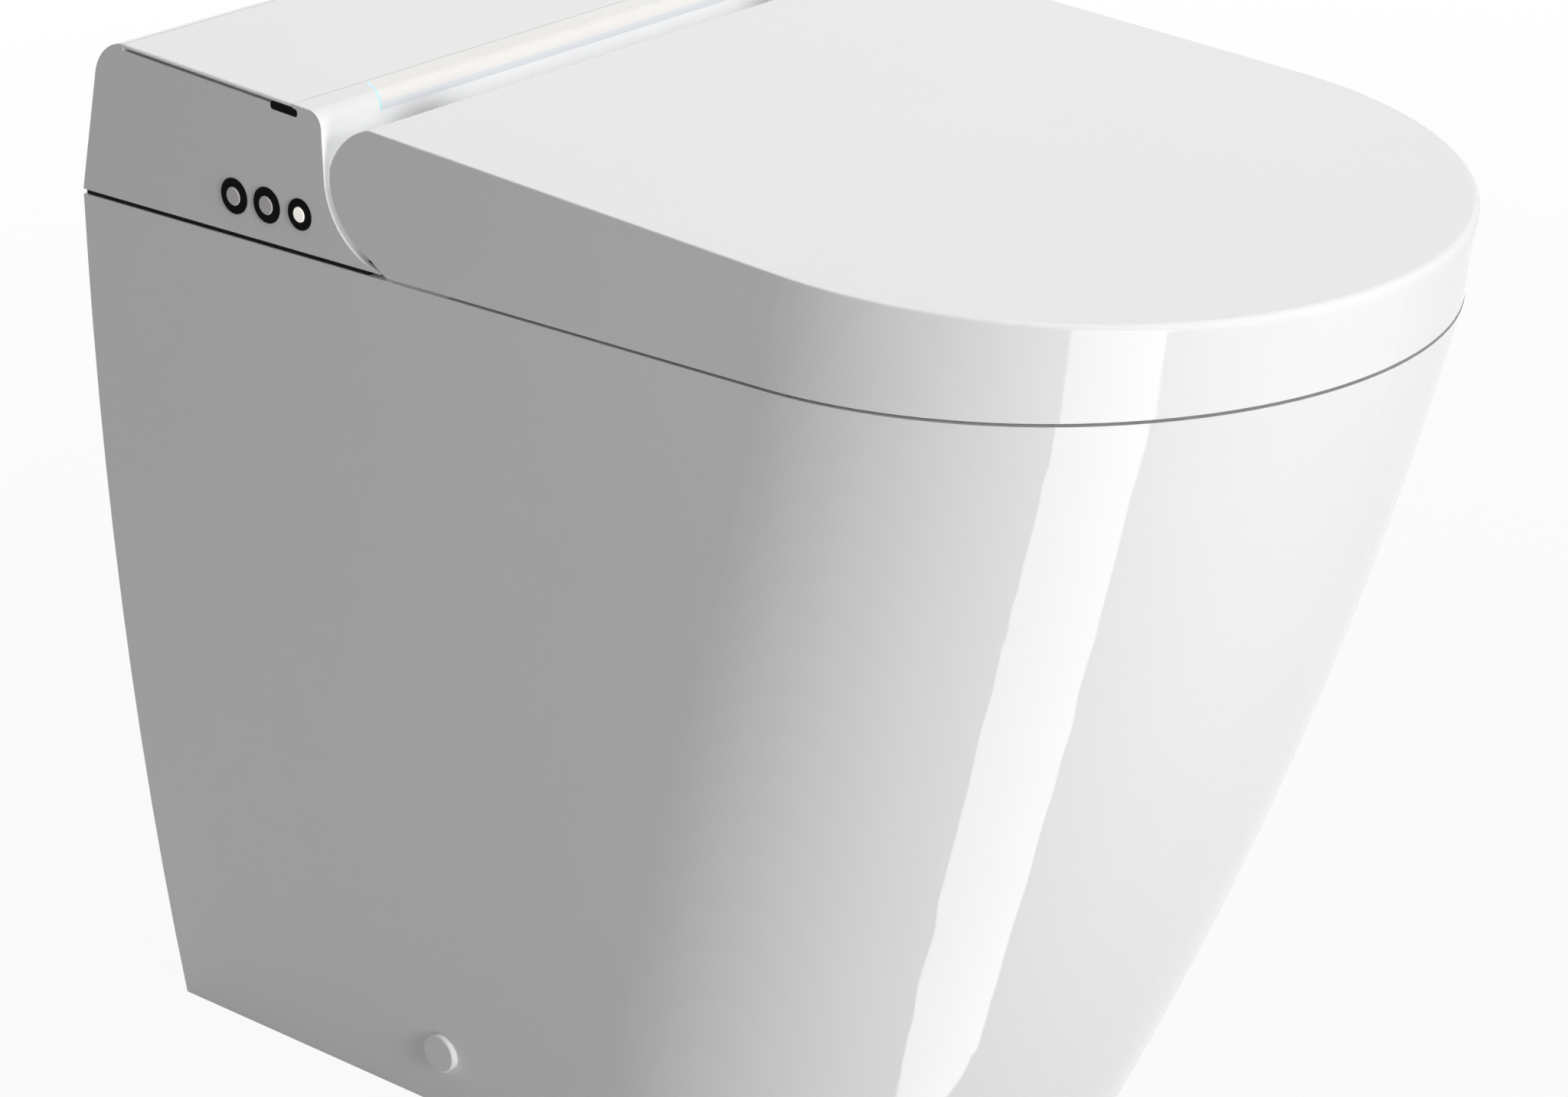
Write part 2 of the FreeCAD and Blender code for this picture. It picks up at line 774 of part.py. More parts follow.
cap_edge = "(fix_cap_radius - running_gap)"
fix_cap = turned("fix_cap", [
    ("0", "-fix_cap_depth"),
    (cap_edge, "-fix_cap_depth"),
    (cap_edge, "fix_cap_stand - fix_cap_round"),
    (f"{cap_edge} - fix_cap_round", "fix_cap_stand"),
    ("0", "fix_cap_stand")], {2: ("fix_cap_round", 1)})
turn(fix_cap, y_axis, 90)
place(fix_cap, fix_side, fix_y, "fix_height")
node(group("fixing_hole_caps", fix_cap, mirrored("fix_cap_other", fix_cap)))


def housing_outline(name, inset, toe, floor):
    """Side view of the rear housing, drawn in by inset, with its toe and its floor at given heights."""
    reach = f"(channel_radius + {inset})"
    front = f"(hinge_y + {reach})"
    corner = f"(front_corner_radius - {inset})"
    bend_y = f"({front} + {corner})"
    bend_z = f"({top_at(bend_y)} - {inset})"
    top_y = "(rear_y - rear_corner_setback)"
    corners = [
        (f"rear_y - {inset}", floor),
        (f"rear_y - rear_lean - {inset}", f"rim_height + unit_height - rear_corner_drop - {inset}"),
        (top_y, f"{top_at(top_y)} - {inset}"),
        (bend_y, bend_z),
        (front, f"{bend_z} - {corner}"),
        (front, hinge_z),
        (f"hinge_y + sqrt({reach} ^ 2 - ({hinge_z} - {toe}) ^ 2)", toe),
    ]
    if toe != floor:
        corners.append((corners[-1][0], floor))
    return outline(name, corners, {1: (f"rear_corner_radius - {inset}", 1), 3: (corner, 1), 5: (reach, -1)})


# Rear housing: one shell, open below and above.
toe_height = f"({seam_top} + toe_thickness)"
inner_floor = f"({seam_top} - toe_gap)"
full_width = "half_width * 2"
housing_line = housing_outline("housing_line", "0", toe_height, seam_top)
housing_outer = extruded("housing_outer", housing_line, full_width)
housing_inner_line = housing_outline("housing_inner_line", "housing_wall", inner_floor, inner_floor)
housing_inner = extruded("housing_inner", housing_inner_line, f"{inner_side} * 2")


def sloped(name, front, rear, low, high, length):
    """A plate along the common slope, between two depths below it."""
    corners = [(front, f"{top_at(front)} - ({low})"), (rear, f"{top_at(rear)} - ({low})"),
               (rear, f"{top_at(rear)} - ({high})"), (front, f"{top_at(front)} - ({high})")]
    return extruded(name, outline(name + "_line", corners), length)


over_width = f"{full_width} + housing_wall"
cover_opening = sloped("cover_opening", cover_front, cover_rear, "cover_thickness + cover_gap",
                       "-cover_thickness", over_width)

# Front strip with a thin light at each slanted end, let into the front top edge.
strip_line = housing_outline("strip_line", "0", toe_height, seam_top)
strip_inner_line = housing_outline("strip_inner_line", "strip_depth", inner_floor, inner_floor)
strip_skin = cut("strip_skin", extruded("strip_outer", strip_line, full_width),
                 extruded("strip_inner", strip_inner_line, over_width))
strip_bend = f"({front_wall} + front_corner_radius)"
strip_low = f"({top_at(strip_bend)} - front_corner_radius)"


def strip_prism(name, extra):
    """The plan of the strip, wider at the front, drawn up through the edge."""
    front = f"({front_wall} - toe_gap)"
    rear = f"({cover_front} - fit_gap)"
    wide = f"(half_width - strip_inset_front + {extra})"
    narrow = f"(half_width - strip_inset_top + {extra})"
    corners = [(f"-{wide}", front), (wide, front), (narrow, rear), (f"-{narrow}", rear)]
    sketch = outline(name + "_plan", corners, None, "XY_Plane", strip_low)
    return extruded(name, sketch, "unit_height", False)


strip_plan = strip_prism("strip_plan", "0")
strip_seat = common("strip_seat", strip_skin, strip_prism("strip_seat_plan", "light_width"))
node(common("display_strip", strip_seat, strip_plan))
node(cut("status_lights", strip_seat, strip_plan))

# Receiver window in the side, under the edge of the top cover.
window_rear = "(rear_y - window_setback)"
window_front = f"({window_rear} - window_length)"
window_high = "(cover_thickness + fit_gap)"
window_bar = sloped("window_bar", window_front, window_rear, f"{window_high} + window_height", window_high,
                    full_width)
window_side = block("window_side", ("-half_width", "-half_width + window_depth"),
                    (f"{window_front} - window_length", f"{window_rear} + window_length"),
                    ("rim_height", "rim_height + unit_height"))
window_block = common("window_block", window_bar, window_side)
window = node(rounded("receiver_window", window_block, "window_height / 2 - slide_gap",
                      lambda at, box: box.XLength > box.YLength + box.ZLength))

# Push buttons on the side, each in a black ring.
button_z = f"({seam_top} + button_rise)"
button_ys = ["button_front_y + button_pitch * 2", "button_front_y + button_pitch", "button_front_y"]
bezel_sizes = [("bezel_radius", "bezel_bore")] * 2 + [("small_bezel_radius", "small_bezel_bore")]
button_names = ["wash_button", "stop_button", "power_button"]
button_cuts = []
bezels = []
switch_face = "(-half_width + housing_wall + slide_gap + button_flange_thickness + button_travel + fit_gap)"
for name, y, (outer, bore) in zip(button_names, button_ys, bezel_sizes):
    seat = rod(name + "_seat", outer, ("-half_width - bezel_stand", "-half_width + bezel_seat"), y, button_z)
    hole = rod(name + "_hole", bore, ("-half_width - bezel_stand", "-half_width + housing_wall * 2"), y,
               button_z)
    button_cuts += [seat, hole]
    bezel = turned(name + "_bezel", [(bore, "-bezel_seat"), (outer, "-bezel_seat"),
                                     (outer, "bezel_stand - fit_gap"), (f"{outer} - fit_gap", "bezel_stand"),
                                     (bore, "bezel_stand")])
    turn(bezel, y_axis, -90)
    bezels.append(place(bezel, "-half_width", y, button_z))
    stem = f"{bore} - slide_gap"
    flange = f"{stem} + button_flange"
    flange_face = "-housing_wall - slide_gap"
    flange_back = f"{flange_face} - button_flange_thickness"
    button = turned(name, [("0", "button_stand"), (f"{stem} - fit_gap", "button_stand"),
                           (stem, "button_stand - fit_gap"), (stem, flange_face), (flange, flange_face),
                           (flange, flange_back), ("0", flange_back)])
    turn(button, y_axis, -90)
    node(place(button, "-half_width", y, button_z))
node(group("button_bezels", *bezels))

# Key board: a circuit board on spacers behind the buttons, with one switch each.
board_face = f"({switch_face} + switch_height)"
key_rise = (f"{button_z} - key_board_height / 2", f"{button_z} + key_board_height / 2")
key_front = "(button_front_y - key_board_margin)"
key_rear = "(button_front_y + button_pitch * 2 + key_board_margin)"
key_sides = (board_face, f"{board_face} + board_thickness")
key_pieces = [block("key_plate", key_sides, (key_front, key_rear), key_rise)]
for number, y in enumerate(button_ys):
    key_pieces.append(block(f"key_switch_{number}", (switch_face, board_face),
                            (f"{y} - switch_size / 2", f"{y} + switch_size / 2"),
                            (f"{button_z} - switch_size / 2", f"{button_z} + switch_size / 2")))
for number, y in enumerate((f"{key_front} + pillar_radius / 2", f"{key_rear} - pillar_radius / 2")):
    key_pieces.append(rod(f"key_spacer_{number}", "pillar_radius / 2", (f"-{inner_side}", board_face), y,
                          f"{key_rise[0]} + pillar_radius"))
node(fuse("key_board", *key_pieces))

# Housing shell with its openings.
chassis_room = block("chassis_room", (f"-{inner_side}", inner_side),
                     ("hinge_y - channel_radius", f"{front_wall} + housing_wall"),
                     (inner_floor + " - seam_gap", f"{chassis_top} + slide_gap"))
port = block("port", (recess_low_x, recess_high_x), ("hinge_y", f"{front_wall} + housing_wall * 2"),
             (inner_floor, f"{chassis_top} + port_height"))
gland_y = "rear_y - rear_lean - housing_wall * 2"
gland_z = f"({chassis_top} + gland_rise)"
gland_x = f"(gland_inset - {inner_side})"
gland_hole = rod("gland_hole", "gland_radius", gland_x, (gland_y, "rear_y + housing_wall"), gland_z)
housing_walls = cut("housing_walls", housing_outer, housing_inner)
node(cut("housing_shell", housing_walls, cover_opening, strip_seat, window, chassis_room, port, gland_hole,
         *button_cuts))

# Top cover with rounded side edges.
cover_plate = sloped("cover_plate", f"{cover_front} + fit_gap", f"{cover_rear} - fit_gap", "cover_thickness",
                     "0", full_width)
slope_level = value(top_at("0"))
slope_rise = value("top_slope")
edge_touch = 0.5


def on_slope(at):
    """Whether a point lies on the common slope of lid and housing."""
    return abs(at.z - slope_level - slope_rise * at.y) < edge_touch


node(rounded("top_cover", cover_plate, "cover_edge_round",
             lambda at, box: on_slope(at) and box.XLength < edge_touch))

# Rubber seal between the ceramic deck and the housing, open to the front.
seal_outer = block("seal_outer", ("-half_width + seal_inset", "half_width - seal_inset"),
                   ("hinge_y + seal_reach", "rear_y - seal_inset"), ("rim_height", seam_top))
seal_half = "(half_width - seal_inset - seal_width)"
seal_inner = block("seal_inner", (f"-{seal_half}", seal_half),
                   ("hinge_y - seal_width", "rear_y - seal_inset - seal_width"),
                   ("rim_height - seam_gap", f"{seam_top} + seam_gap"))
node(cut("deck_seal", seal_outer, seal_inner))

# Base chassis: a plate on the seal with two hinge posts on tongues in front of the housing.
chassis_half = f"({inner_side} - fit_gap)"
plate_front = f"({front_wall} - plate_reach)"
chassis_span = (seam_top, chassis_top)
chassis_plate = block("chassis_plate", (f"-{chassis_half}", chassis_half),
                      (plate_front, "rear_y - chassis_setback"), chassis_span)
tongue_front = "(hinge_y - tongue_reach)"
tongue_half = f"({post_outer} + tongue_margin)"
tongue = block("tongue", (f"-{tongue_half}", tongue_half), (tongue_front, plate_front), chassis_span)
post_y = ("hinge_y - post_half_depth", "hinge_y + post_half_depth")
post = fuse("post", block("post_block", (post_inner, post_outer), post_y, (seam_top, hinge_z)),
            rod("post_head", "post_half_depth", (post_inner, post_outer), "hinge_y", hinge_z))
across_hinge = ("-half_width", "half_width")
shaft_hole = rod("shaft_hole", "shaft_radius + running_gap", across_hinge, "hinge_y", hinge_z)
through_chassis = (inner_floor, f"{chassis_top} + seam_gap")
chassis_port = block("chassis_port", (recess_low_x, recess_high_x),
                     (f"{tongue_front} - tongue_reach", f"{front_wall} + port_back"), through_chassis)
chassis_hole = rod("chassis_hole", "bolt_radius + slide_gap", bolt_x, bolt_y, through_chassis)
nipple_hole = rod("nipple_hole", "nipple_radius + nipple_shoulder", inlet_x, inlet_y, through_chassis)
feed_opening = rod("feed_opening", "feed_radius", flush_x, inlet_y, through_chassis)
chassis_solid = fuse("chassis_solid", chassis_plate, tongue, post, mirrored("post_other", post))
node(cut("base_chassis", chassis_solid, shaft_hole, chassis_port, chassis_hole,
         mirrored("chassis_hole_other", chassis_hole), nipple_hole, feed_opening))

# Bolts that hold the chassis to the deck, each with its nut below.
deck_bottom = "(rim_height - deck_thickness)"
bolt_end = f"{deck_bottom} - bolt_nut_height - bolt_radius"
deck_bolt = turned("deck_bolt", [
    ("0", f"{chassis_top} + bolt_head_height"),
    ("bolt_head_radius", f"{chassis_top} + bolt_head_height"),
    ("bolt_head_radius", chassis_top),
    ("bolt_radius", chassis_top),
    ("bolt_radius", bolt_end),
    ("0", bolt_end)])
place(deck_bolt, bolt_x, bolt_y)
node(group("chassis_bolts", deck_bolt, mirrored("deck_bolt_other", deck_bolt)))
deck_nut = turned("deck_nut", [
    ("bolt_radius + running_gap", deck_bottom),
    ("bolt_radius + running_gap", f"{deck_bottom} - bolt_nut_height"),
    ("bolt_nut_radius", f"{deck_bottom} - bolt_nut_height"),
    ("bolt_nut_radius", deck_bottom)])
place(deck_nut, bolt_x, bolt_y)
node(group("chassis_nuts", deck_nut, mirrored("deck_nut_other", deck_nut)))

# Hinge shafts through post, seat arm and lid arm, and soft-close dampers on their inner ends.
shaft_end = f"({post_inner} - shaft_entry)"
shaft = rod("shaft", "shaft_radius", (shaft_end, f"{lid_arm_outer} + arm_gap"), "hinge_y", hinge_z)
node(group("hinge_shafts", shaft, mirrored("shaft_other", shaft)))
damper_span = (f"{post_inner} - damper_length", post_inner)
damper_case = rod("damper_case", "damper_radius", damper_span, "hinge_y", hinge_z)
damper_bore = rod("damper_bore", "shaft_radius + running_gap", (shaft_end, post_inner), "hinge_y", hinge_z)
damper = cut("damper", damper_case, damper_bore)
node(group("hinge_dampers", damper, mirrored("damper_other", damper)))

# Lid: a sloping shell with straight cheeks, a round front and a rear end that turns in the channel.
lid_far = "(rim_front_y - half_width)"


def lid_outline(name, inset, floor):
    """Side view of the lid, drawn in by inset."""
    reach = f"(lid_end_radius - {inset})"
    top_y = "(hinge_y + lid_top_back)"
    corners = [
        (lid_far, floor),
        ("hinge_y + lid_toe_back", floor),
        (f"hinge_y + sqrt({reach} ^ 2 - (lid_end_low - {inset}) ^ 2)", f"{hinge_z} - lid_end_low + {inset}"),
        (f"hinge_y + sqrt({reach} ^ 2 - lid_end_lift ^ 2)", f"{hinge_z} + lid_end_lift"),
        (top_y, f"{top_at(top_y)} - {inset}"),
        (lid_far, f"{top_at(lid_far)} - {inset}"),
    ]
    return outline(name, corners, {2: (reach, 1), 3: (f"lid_end_round - {inset}", 1)})


def lid_plan(name, inset):
    """Plan of the lid, drawn in by inset, leaning out at the front."""
    low = f"({seam_top} - lid_wall)"
    high = "(rim_height + unit_height + lid_wall)"
    sections = []
    for level, height in (("low", low), ("high", high)):
        front = f"(rim_front_y - lid_flare * ({height} - {seam_top}) + {inset})"
        sections.append(d_section(f"{name}_{level}", f"(half_width - {inset})", front, "rear_y", height))
    return lofted(name, sections, True)


lid_floor = f"({seam_top} - lid_sink)"
lid_block = common("lid_block", extruded("lid_side", lid_outline("lid_line", "0", lid_floor), full_width),
                   lid_plan("lid_plan", "0"))
long_edge = value("half_width / 4")
lid_solid = rounded("lid_solid", lid_block, "lid_side_round",
                    lambda at, box: on_slope(at) and box.YLength > long_edge, "lid_front_round")
lid_below = f"({seam_top} - lid_wall)"
lid_inner_line = lid_outline("lid_inner_line", "lid_wall", lid_below)
lid_space = common("lid_space", extruded("lid_inner_side", lid_inner_line, full_width),
                   lid_plan("lid_inner_plan", "lid_wall"))
lid_end = ("hinge_y", "hinge_y + channel_radius")
lid_rear_open = block("lid_rear_open", ("-half_width + lid_wall", "half_width - lid_wall"), lid_end,
                      (lid_below, f"{hinge_z} - lid_lip"))
lid_notch = block("lid_notch", (f"{post_inner} - lid_notch_gap", f"{post_outer} + lid_notch_gap"), lid_end,
                  (lid_below, f"{hinge_z} + lid_notch_rise"))
node(cut("lid_shell", lid_solid, lid_space, lid_rear_open, lid_notch, mirrored("lid_notch_other", lid_notch)))

# Inner panel of the lid on pegs.
panel_top = "(lid_wall + panel_drop)"
panel_low = f"({panel_top} + panel_thickness)"
panel_rear = "(hinge_y - panel_rear_gap)"
panel_plan = lid_plan("panel_plan", "(lid_wall + fit_gap)")
panel_slab = sloped("panel_slab", lid_far, panel_rear, panel_low, panel_top, full_width)
panel_plate = common("panel_plate", panel_slab, panel_plan)
panel_pegs = []
for side in (-1, 0, 1):
    for peg_y in ("peg_front_y", f"{panel_rear} - peg_rear_gap"):
        peg_span = (f"{top_at(peg_y)} - {panel_low}", f"{top_at(peg_y)} - panel_drop / 4")
        peg = rod(f"panel_peg_{len(panel_pegs)}", "panel_peg_radius", f"half_width * peg_spread * {side}",
                  peg_y, peg_span)
        panel_pegs.append(peg)
lid_skin = sloped("lid_skin", lid_far, "hinge_y", "lid_wall", "-lid_wall", full_width)
pegs = cut("panel_peg_set", fuse("panel_peg_rods", *panel_pegs), lid_skin,
           sloped("panel_under", lid_far, panel_rear, "lid_wall * 8", panel_low, full_width))
node(fuse("lid_inner_panel", panel_plate, pegs))

# Hinge arms of the lid.
arm_front = "(hinge_y - lid_arm_reach)"
arm_rear = "(hinge_y + lid_top_back / 2)"
arm_line = outline("lid_arm_line", [
    (arm_front, f"{top_at(arm_front)} - lid_wall"),
    (arm_front, f"{top_at(arm_front)} - lid_wall * 3"),
    ("hinge_y - hinge_boss_radius", hinge_z),
    (arm_rear, hinge_z),
    (arm_rear, f"{top_at(arm_rear)} - lid_wall")], at=lid_arm_inner)
lid_arm_span = (lid_arm_inner, lid_arm_outer)
lid_arm_boss = rod("lid_arm_boss", "hinge_boss_radius", lid_arm_span, "hinge_y", hinge_z)
lid_arm_bore = rod("lid_arm_bore", "shaft_radius + running_gap", lid_arm_span, "hinge_y", hinge_z)
lid_arm_web = extruded("lid_arm_web", arm_line, "lid_arm_width", False)
lid_arm = cut("lid_arm", fuse("lid_arm_solid", lid_arm_web, lid_arm_boss), lid_arm_bore)
node(group("lid_hinge_arms", lid_arm, mirrored("lid_arm_other", lid_arm)))


def four_feet(name, low, high, trim=None):
    """Two pairs of round rubber feet between two heights."""
    feet = []
    pairs = (("bumper_front_y", "bumper_front_spread"), ("bumper_rear_y", "bumper_spread"))
    for number, (y, spread) in enumerate(pairs):
        foot = rod(f"{name}_{number}", "bumper_radius", f"half_width * {spread}", y, (low, high(y)))
        if trim:
            foot = cut(f"{name}_{number}_trimmed", foot, trim)
        feet += [foot, mirrored(f"{name}_{number}_other", foot)]
    return group(name, *feet)


bumper_trim = sloped("bumper_trim", lid_far, "hinge_y", panel_low, "-lid_wall", full_width)
node(four_feet("lid_bumpers", f"{seat_top} + bumper_gap", lambda y: f"{top_at(y)} - {panel_top}",
               bumper_trim))
node(four_feet("seat_bumpers", "rim_height + bumper_gap", lambda y: seat_bottom))


def seat_ring(name, low, high, edge):
    """The seat's plan between two heights, drawn in from both edges."""
    plan = d_section(name + "_plan", f"({seat_half} - {edge})", f"({seat_front} + {edge})",
                     f"({seat_rear} - {edge})", low)
    oval = ellipse(name + "_oval", "seat_hole_y", f"{low} - seat_plate", f"seat_hole_half_length + {edge}",
                   f"seat_hole_half_width + {edge}")
    plug = doc.addObject("Part::Extrusion", name + "_plug")
    plug.Base = oval
    plug.DirMode = "Custom"
    plug.Dir = z_axis
    plug.Solid = True
    bind(plug, LengthFwd=f"({high}) - ({low}) + seat_plate * 2")
    return cut(name, extruded(name + "_slab", plan, f"({high}) - ({low})", False), plug)


# Seat: upper shell with hinge arms, plate below, heating foil between them.
node(seat_ring("seat_underside", seat_bottom, seat_split, "0"))
seat_blank = seat_ring("seat_blank", seat_split, seat_top, "0")
seat_level = value(seat_top)
hole_reach = value("seat_hole_half_width") + edge_touch


def seat_edge(inner):
    """Top edges of the seat, the hole's or the outline's."""
    def pick(at, box):
        near_hole = box.XMax < hole_reach and box.XMin > -hole_reach and box.XLength > long_edge
        return abs(at.z - seat_level) < edge_touch and box.ZLength < edge_touch and near_hole == inner
    return pick


seat_round = rounded("seat_round", seat_blank, "seat_outer_round", seat_edge(False))
seat_dome = rounded("seat_dome", seat_round, "seat_inner_round", seat_edge(True))
cavity_top = f"({seat_split} + seat_cavity_height)"
seat_cavity = seat_ring("seat_cavity", seat_split, cavity_top, "seat_cavity_wall")
node(seat_ring("seat_heating_foil", f"({cavity_top} - heater_foil)", cavity_top,
               "(seat_cavity_wall + foil_margin)"))


def on_boss(angle):
    """A point on the rim of the seat's hinge boss, by its angle from the rear."""
    return f"hinge_y + hinge_boss_radius * cos({angle})", f"{hinge_z} + hinge_boss_radius * sin({angle})"


seat_arm_line = outline("seat_arm_line", [
    (f"{seat_rear} - seat_rear_gap", f"{cavity_top} + seat_plate"),
    (seat_rear, f"{seat_split} + seat_plate"),
    on_boss("-seat_arm_low_angle"),
    on_boss("seat_arm_high_angle"),
    (f"{seat_rear} - seat_rear_gap", f"{seat_top} - fit_gap")], at=seat_arm_inner)
seat_arm_web = extruded("seat_arm_web", seat_arm_line, "seat_arm_width", False)
seat_arm_span = (seat_arm_inner, seat_arm_outer)
seat_arm_boss = rod("seat_arm_boss", "hinge_boss_radius", seat_arm_span, "hinge_y", hinge_z)
seat_arm = fuse("seat_arm", seat_arm_web, seat_arm_boss)
seat_bore = rod("seat_bore", "shaft_radius + running_gap", across_hinge, "hinge_y", hinge_z)
seat_solid = fuse("seat_solid", seat_dome, seat_arm, mirrored("seat_arm_other", seat_arm))
node(cut("seat_upper", seat_solid, seat_cavity, seat_bore))

# Wash nozzle: a guide tube on a web, the wand with its tip and rack, and the drive gear and motor.
guide_end = "(guide_front + guide_length)"
guide_radius = "(nozzle_radius + slide_gap + guide_wall)"
gear_radius = "(gear_module * gear_teeth / 2)"
pitch_line = "((rack_root + rack_tip) / 2)"
gear_v = f"({pitch_line} + {gear_radius})"
gear_half = "(gear_width / 2)"
gear_room = f"({gear_radius} + gear_module * rack_lead)"
slot_half = f"({gear_half} + fit_gap)"
guide_slot = tilted_block("guide_slot", (f"nozzle_x - {slot_half}", f"nozzle_x + {slot_half}"),
                          (f"gear_u - {gear_room}", f"gear_u + {gear_room}"), ("0", f"{guide_radius} * 2"))
web_front = f"({front_wall} + web_setback)"
web_rear = f"({web_front} + web_length)"
web_top = f"(rim_height - nozzle_drop + ({web_front} - nozzle_exit_y) * tan(nozzle_tilt))"
guide_web = block("guide_web_plate", ("nozzle_x - guide_web / 2", "nozzle_x + guide_web / 2"),
                  (web_front, web_rear), (chassis_top, web_top))
guide_foot = block("guide_foot", (f"nozzle_x - {guide_radius}", f"nozzle_x + {guide_radius}"),
                   (web_front, web_rear), (chassis_top, f"{chassis_top} + guide_wall"))
ear_outer = f"(nozzle_x - {guide_radius} - motor_ear / 2)"
ear_span = (ear_outer, f"{ear_outer} + motor_ear")
ear = tilted_block("motor_ear_plate", ear_span, ("gear_u - motor_radius", "gear_u + motor_radius"),
                   ("0", gear_v))


def cross_rod(name, radius, x, u, v):
    """A cylinder across the object, placed in the slope of the nozzle."""
    return rod(name, radius, x, *tilted(u, v))


ear_end = cross_rod("motor_ear_end", "motor_radius", ear_span, "gear_u", gear_v)
guide_tube = tilted_rod("guide_tube", guide_radius, ("guide_front", guide_end), "0")
hose_end = f"(nozzle_x + {guide_radius} + hose_boss)"
hose_stub = cross_rod("hose_stub", "hose_radius + hose_boss / 2", ("nozzle_x", hose_end), "hose_u", "0")
guide_bore = tilted_rod("guide_bore", "nozzle_radius + slide_gap", ("0", "nozzle_end * 2"), "0")
ear_hole = cross_rod("ear_hole", "motor_shaft_radius * 2", (ear_outer, "nozzle_x"), "gear_u", gear_v)
guide_solid = fuse("guide_solid", guide_tube, hose_stub, guide_web, guide_foot, ear, ear_end)
node(cut("nozzle_guide", guide_solid, guide_bore, guide_slot, ear_hole))

tip_end = "(nozzle_start + nozzle_tip_length)"
plug_end = f"({tip_end} + nozzle_tip_length / 2)"
rack_start = f"(gear_u - {gear_room})"
wand_bar = tilted_rod("wand_bar", "nozzle_radius", (tip_end, "nozzle_end"), "0")
rack_sides = ("nozzle_x - rack_width / 2", "nozzle_x + rack_width / 2")
rack_bed = tilted_block("rack_bed", rack_sides, (rack_start, "nozzle_end"),
                        ("rack_base", "nozzle_radius * 2"))
tip_hole = tilted_rod("tip_hole", "nozzle_radius / 2", (tip_end, plug_end), "0")
node(cut("nozzle_wand", wand_bar, rack_bed, tip_hole))
jets = []
jet_shares = (0.35, 0.55, 0.75)
for number, along in enumerate(jet_shares):
    jet = doc.addObject("Part::Cylinder", f"jet_{number}")
    bind(jet, Radius="nozzle_radius / 12", Height="nozzle_radius")
    turn(jet, x_axis, "nozzle_tilt")
    jet_place = tilted(f"nozzle_start + nozzle_tip_length * {along}", "nozzle_radius / 2")
    jets.append(place(jet, "nozzle_x", *jet_place))
tip_solid = fuse("tip_solid", tilted_rod("tip_bar", "nozzle_radius", ("nozzle_start", tip_end), "0"),
                 tilted_rod("tip_plug", "nozzle_radius / 2", (tip_end, plug_end), "0"))
node(cut("nozzle_tip", tip_solid, *jets))

# Rack and gear share one module, so that they mesh over the whole travel.
tooth_pitch = f"(gear_module * {math.pi})"
rack = padded("nozzle_rack", "YZ_Plane", [
    (f"{rack_start} - gear_u", "rack_base"), ("nozzle_end - gear_u", "rack_base"),
    ("nozzle_end - gear_u", "rack_tip"), (f"{rack_start} - gear_u", "rack_tip")], "rack_width")
gap_low = "(gear_module * gap_root_share + gear_backlash / 4)"
gap_high = "(gear_module * gap_mouth_share + gear_backlash / 4)"
gaps_before = 2
first_gap = f"({tooth_pitch} * -{gaps_before})"
gap_sketch = outline("rack_gap", [
    (f"{first_gap} - {gap_low}", "rack_root"), (f"{first_gap} + {gap_low}", "rack_root"),
    (f"{first_gap} + {gap_high}", "rack_tip + fit_gap"), (f"{first_gap} - {gap_high}", "rack_tip + fit_gap")],
    None, "YZ_Plane", body=rack)
gap_pocket = rack.newObject("PartDesign::Pocket", "rack_gap_pocket")
gap_pocket.Profile = gap_sketch
gap_pocket.Reversed = True
bind(gap_pocket, Length="rack_width")
gap_count = int(value(f"(nozzle_end - gear_u) / {tooth_pitch} + {gaps_before}"))
gap_row = rack.newObject("PartDesign::LinearPattern", "rack_gap_row")
gap_row.Originals = [gap_pocket]
gap_row.Direction = (gap_sketch, ["H_Axis"])
gap_row.Occurrences = gap_count
bind(gap_row, Length=f"{tooth_pitch} * {gap_count - 1}")
rack.Tip = gap_row
turn(rack, x_axis, "nozzle_tilt")
node(place(rack, rack_sides[0], *tilted("gear_u", "0")))

root_radius = f"({gear_radius} - gear_module * gear_foot)"
head_radius = f"({gear_radius} + gear_module * gear_head)"
tooth_start = f"({root_radius} - gear_module / 2)"
gear_shaft = f"(nozzle_x - {gear_half} - {ear_outer} + motor_shaft_entry)"
gear = turned("nozzle_gear", [
    ("0", "gear_width"), (root_radius, "gear_width"), (root_radius, "0"),
    ("motor_shaft_radius", "0"), ("motor_shaft_radius", f"-{gear_shaft}"), ("0", f"-{gear_shaft}")])
tooth_low = "(gear_module * tooth_root_share - gear_backlash / 4)"
tooth_high = "(gear_module * tooth_tip_share - gear_backlash / 4)"
tooth_sketch = outline("gear_tooth", [
    (tooth_start, f"-{tooth_low}"), (head_radius, f"-{tooth_high}"), (head_radius, tooth_high),
    (tooth_start, tooth_low)], None, "XY_Plane", body=gear)
tooth_pad = gear.newObject("PartDesign::Pad", "gear_tooth_pad")
tooth_pad.Profile = tooth_sketch
bind(tooth_pad, Length="gear_width")
tooth_ring = gear.newObject("PartDesign::PolarPattern", "gear_tooth_ring")
tooth_ring.Originals = [tooth_pad]
tooth_ring.Axis = (tooth_sketch, ["N_Axis"])
tooth_ring.Angle = 360
tooth_ring.Occurrences = int(value("gear_teeth"))
gear.Tip = tooth_ring
across = FreeCAD.Rotation(x_axis, value("nozzle_tilt")) * FreeCAD.Rotation(y_axis, 90)
gear.Placement = FreeCAD.Placement(FreeCAD.Vector(), across)
node(place(gear, f"nozzle_x - {gear_half}", *tilted("gear_u", gear_v)))

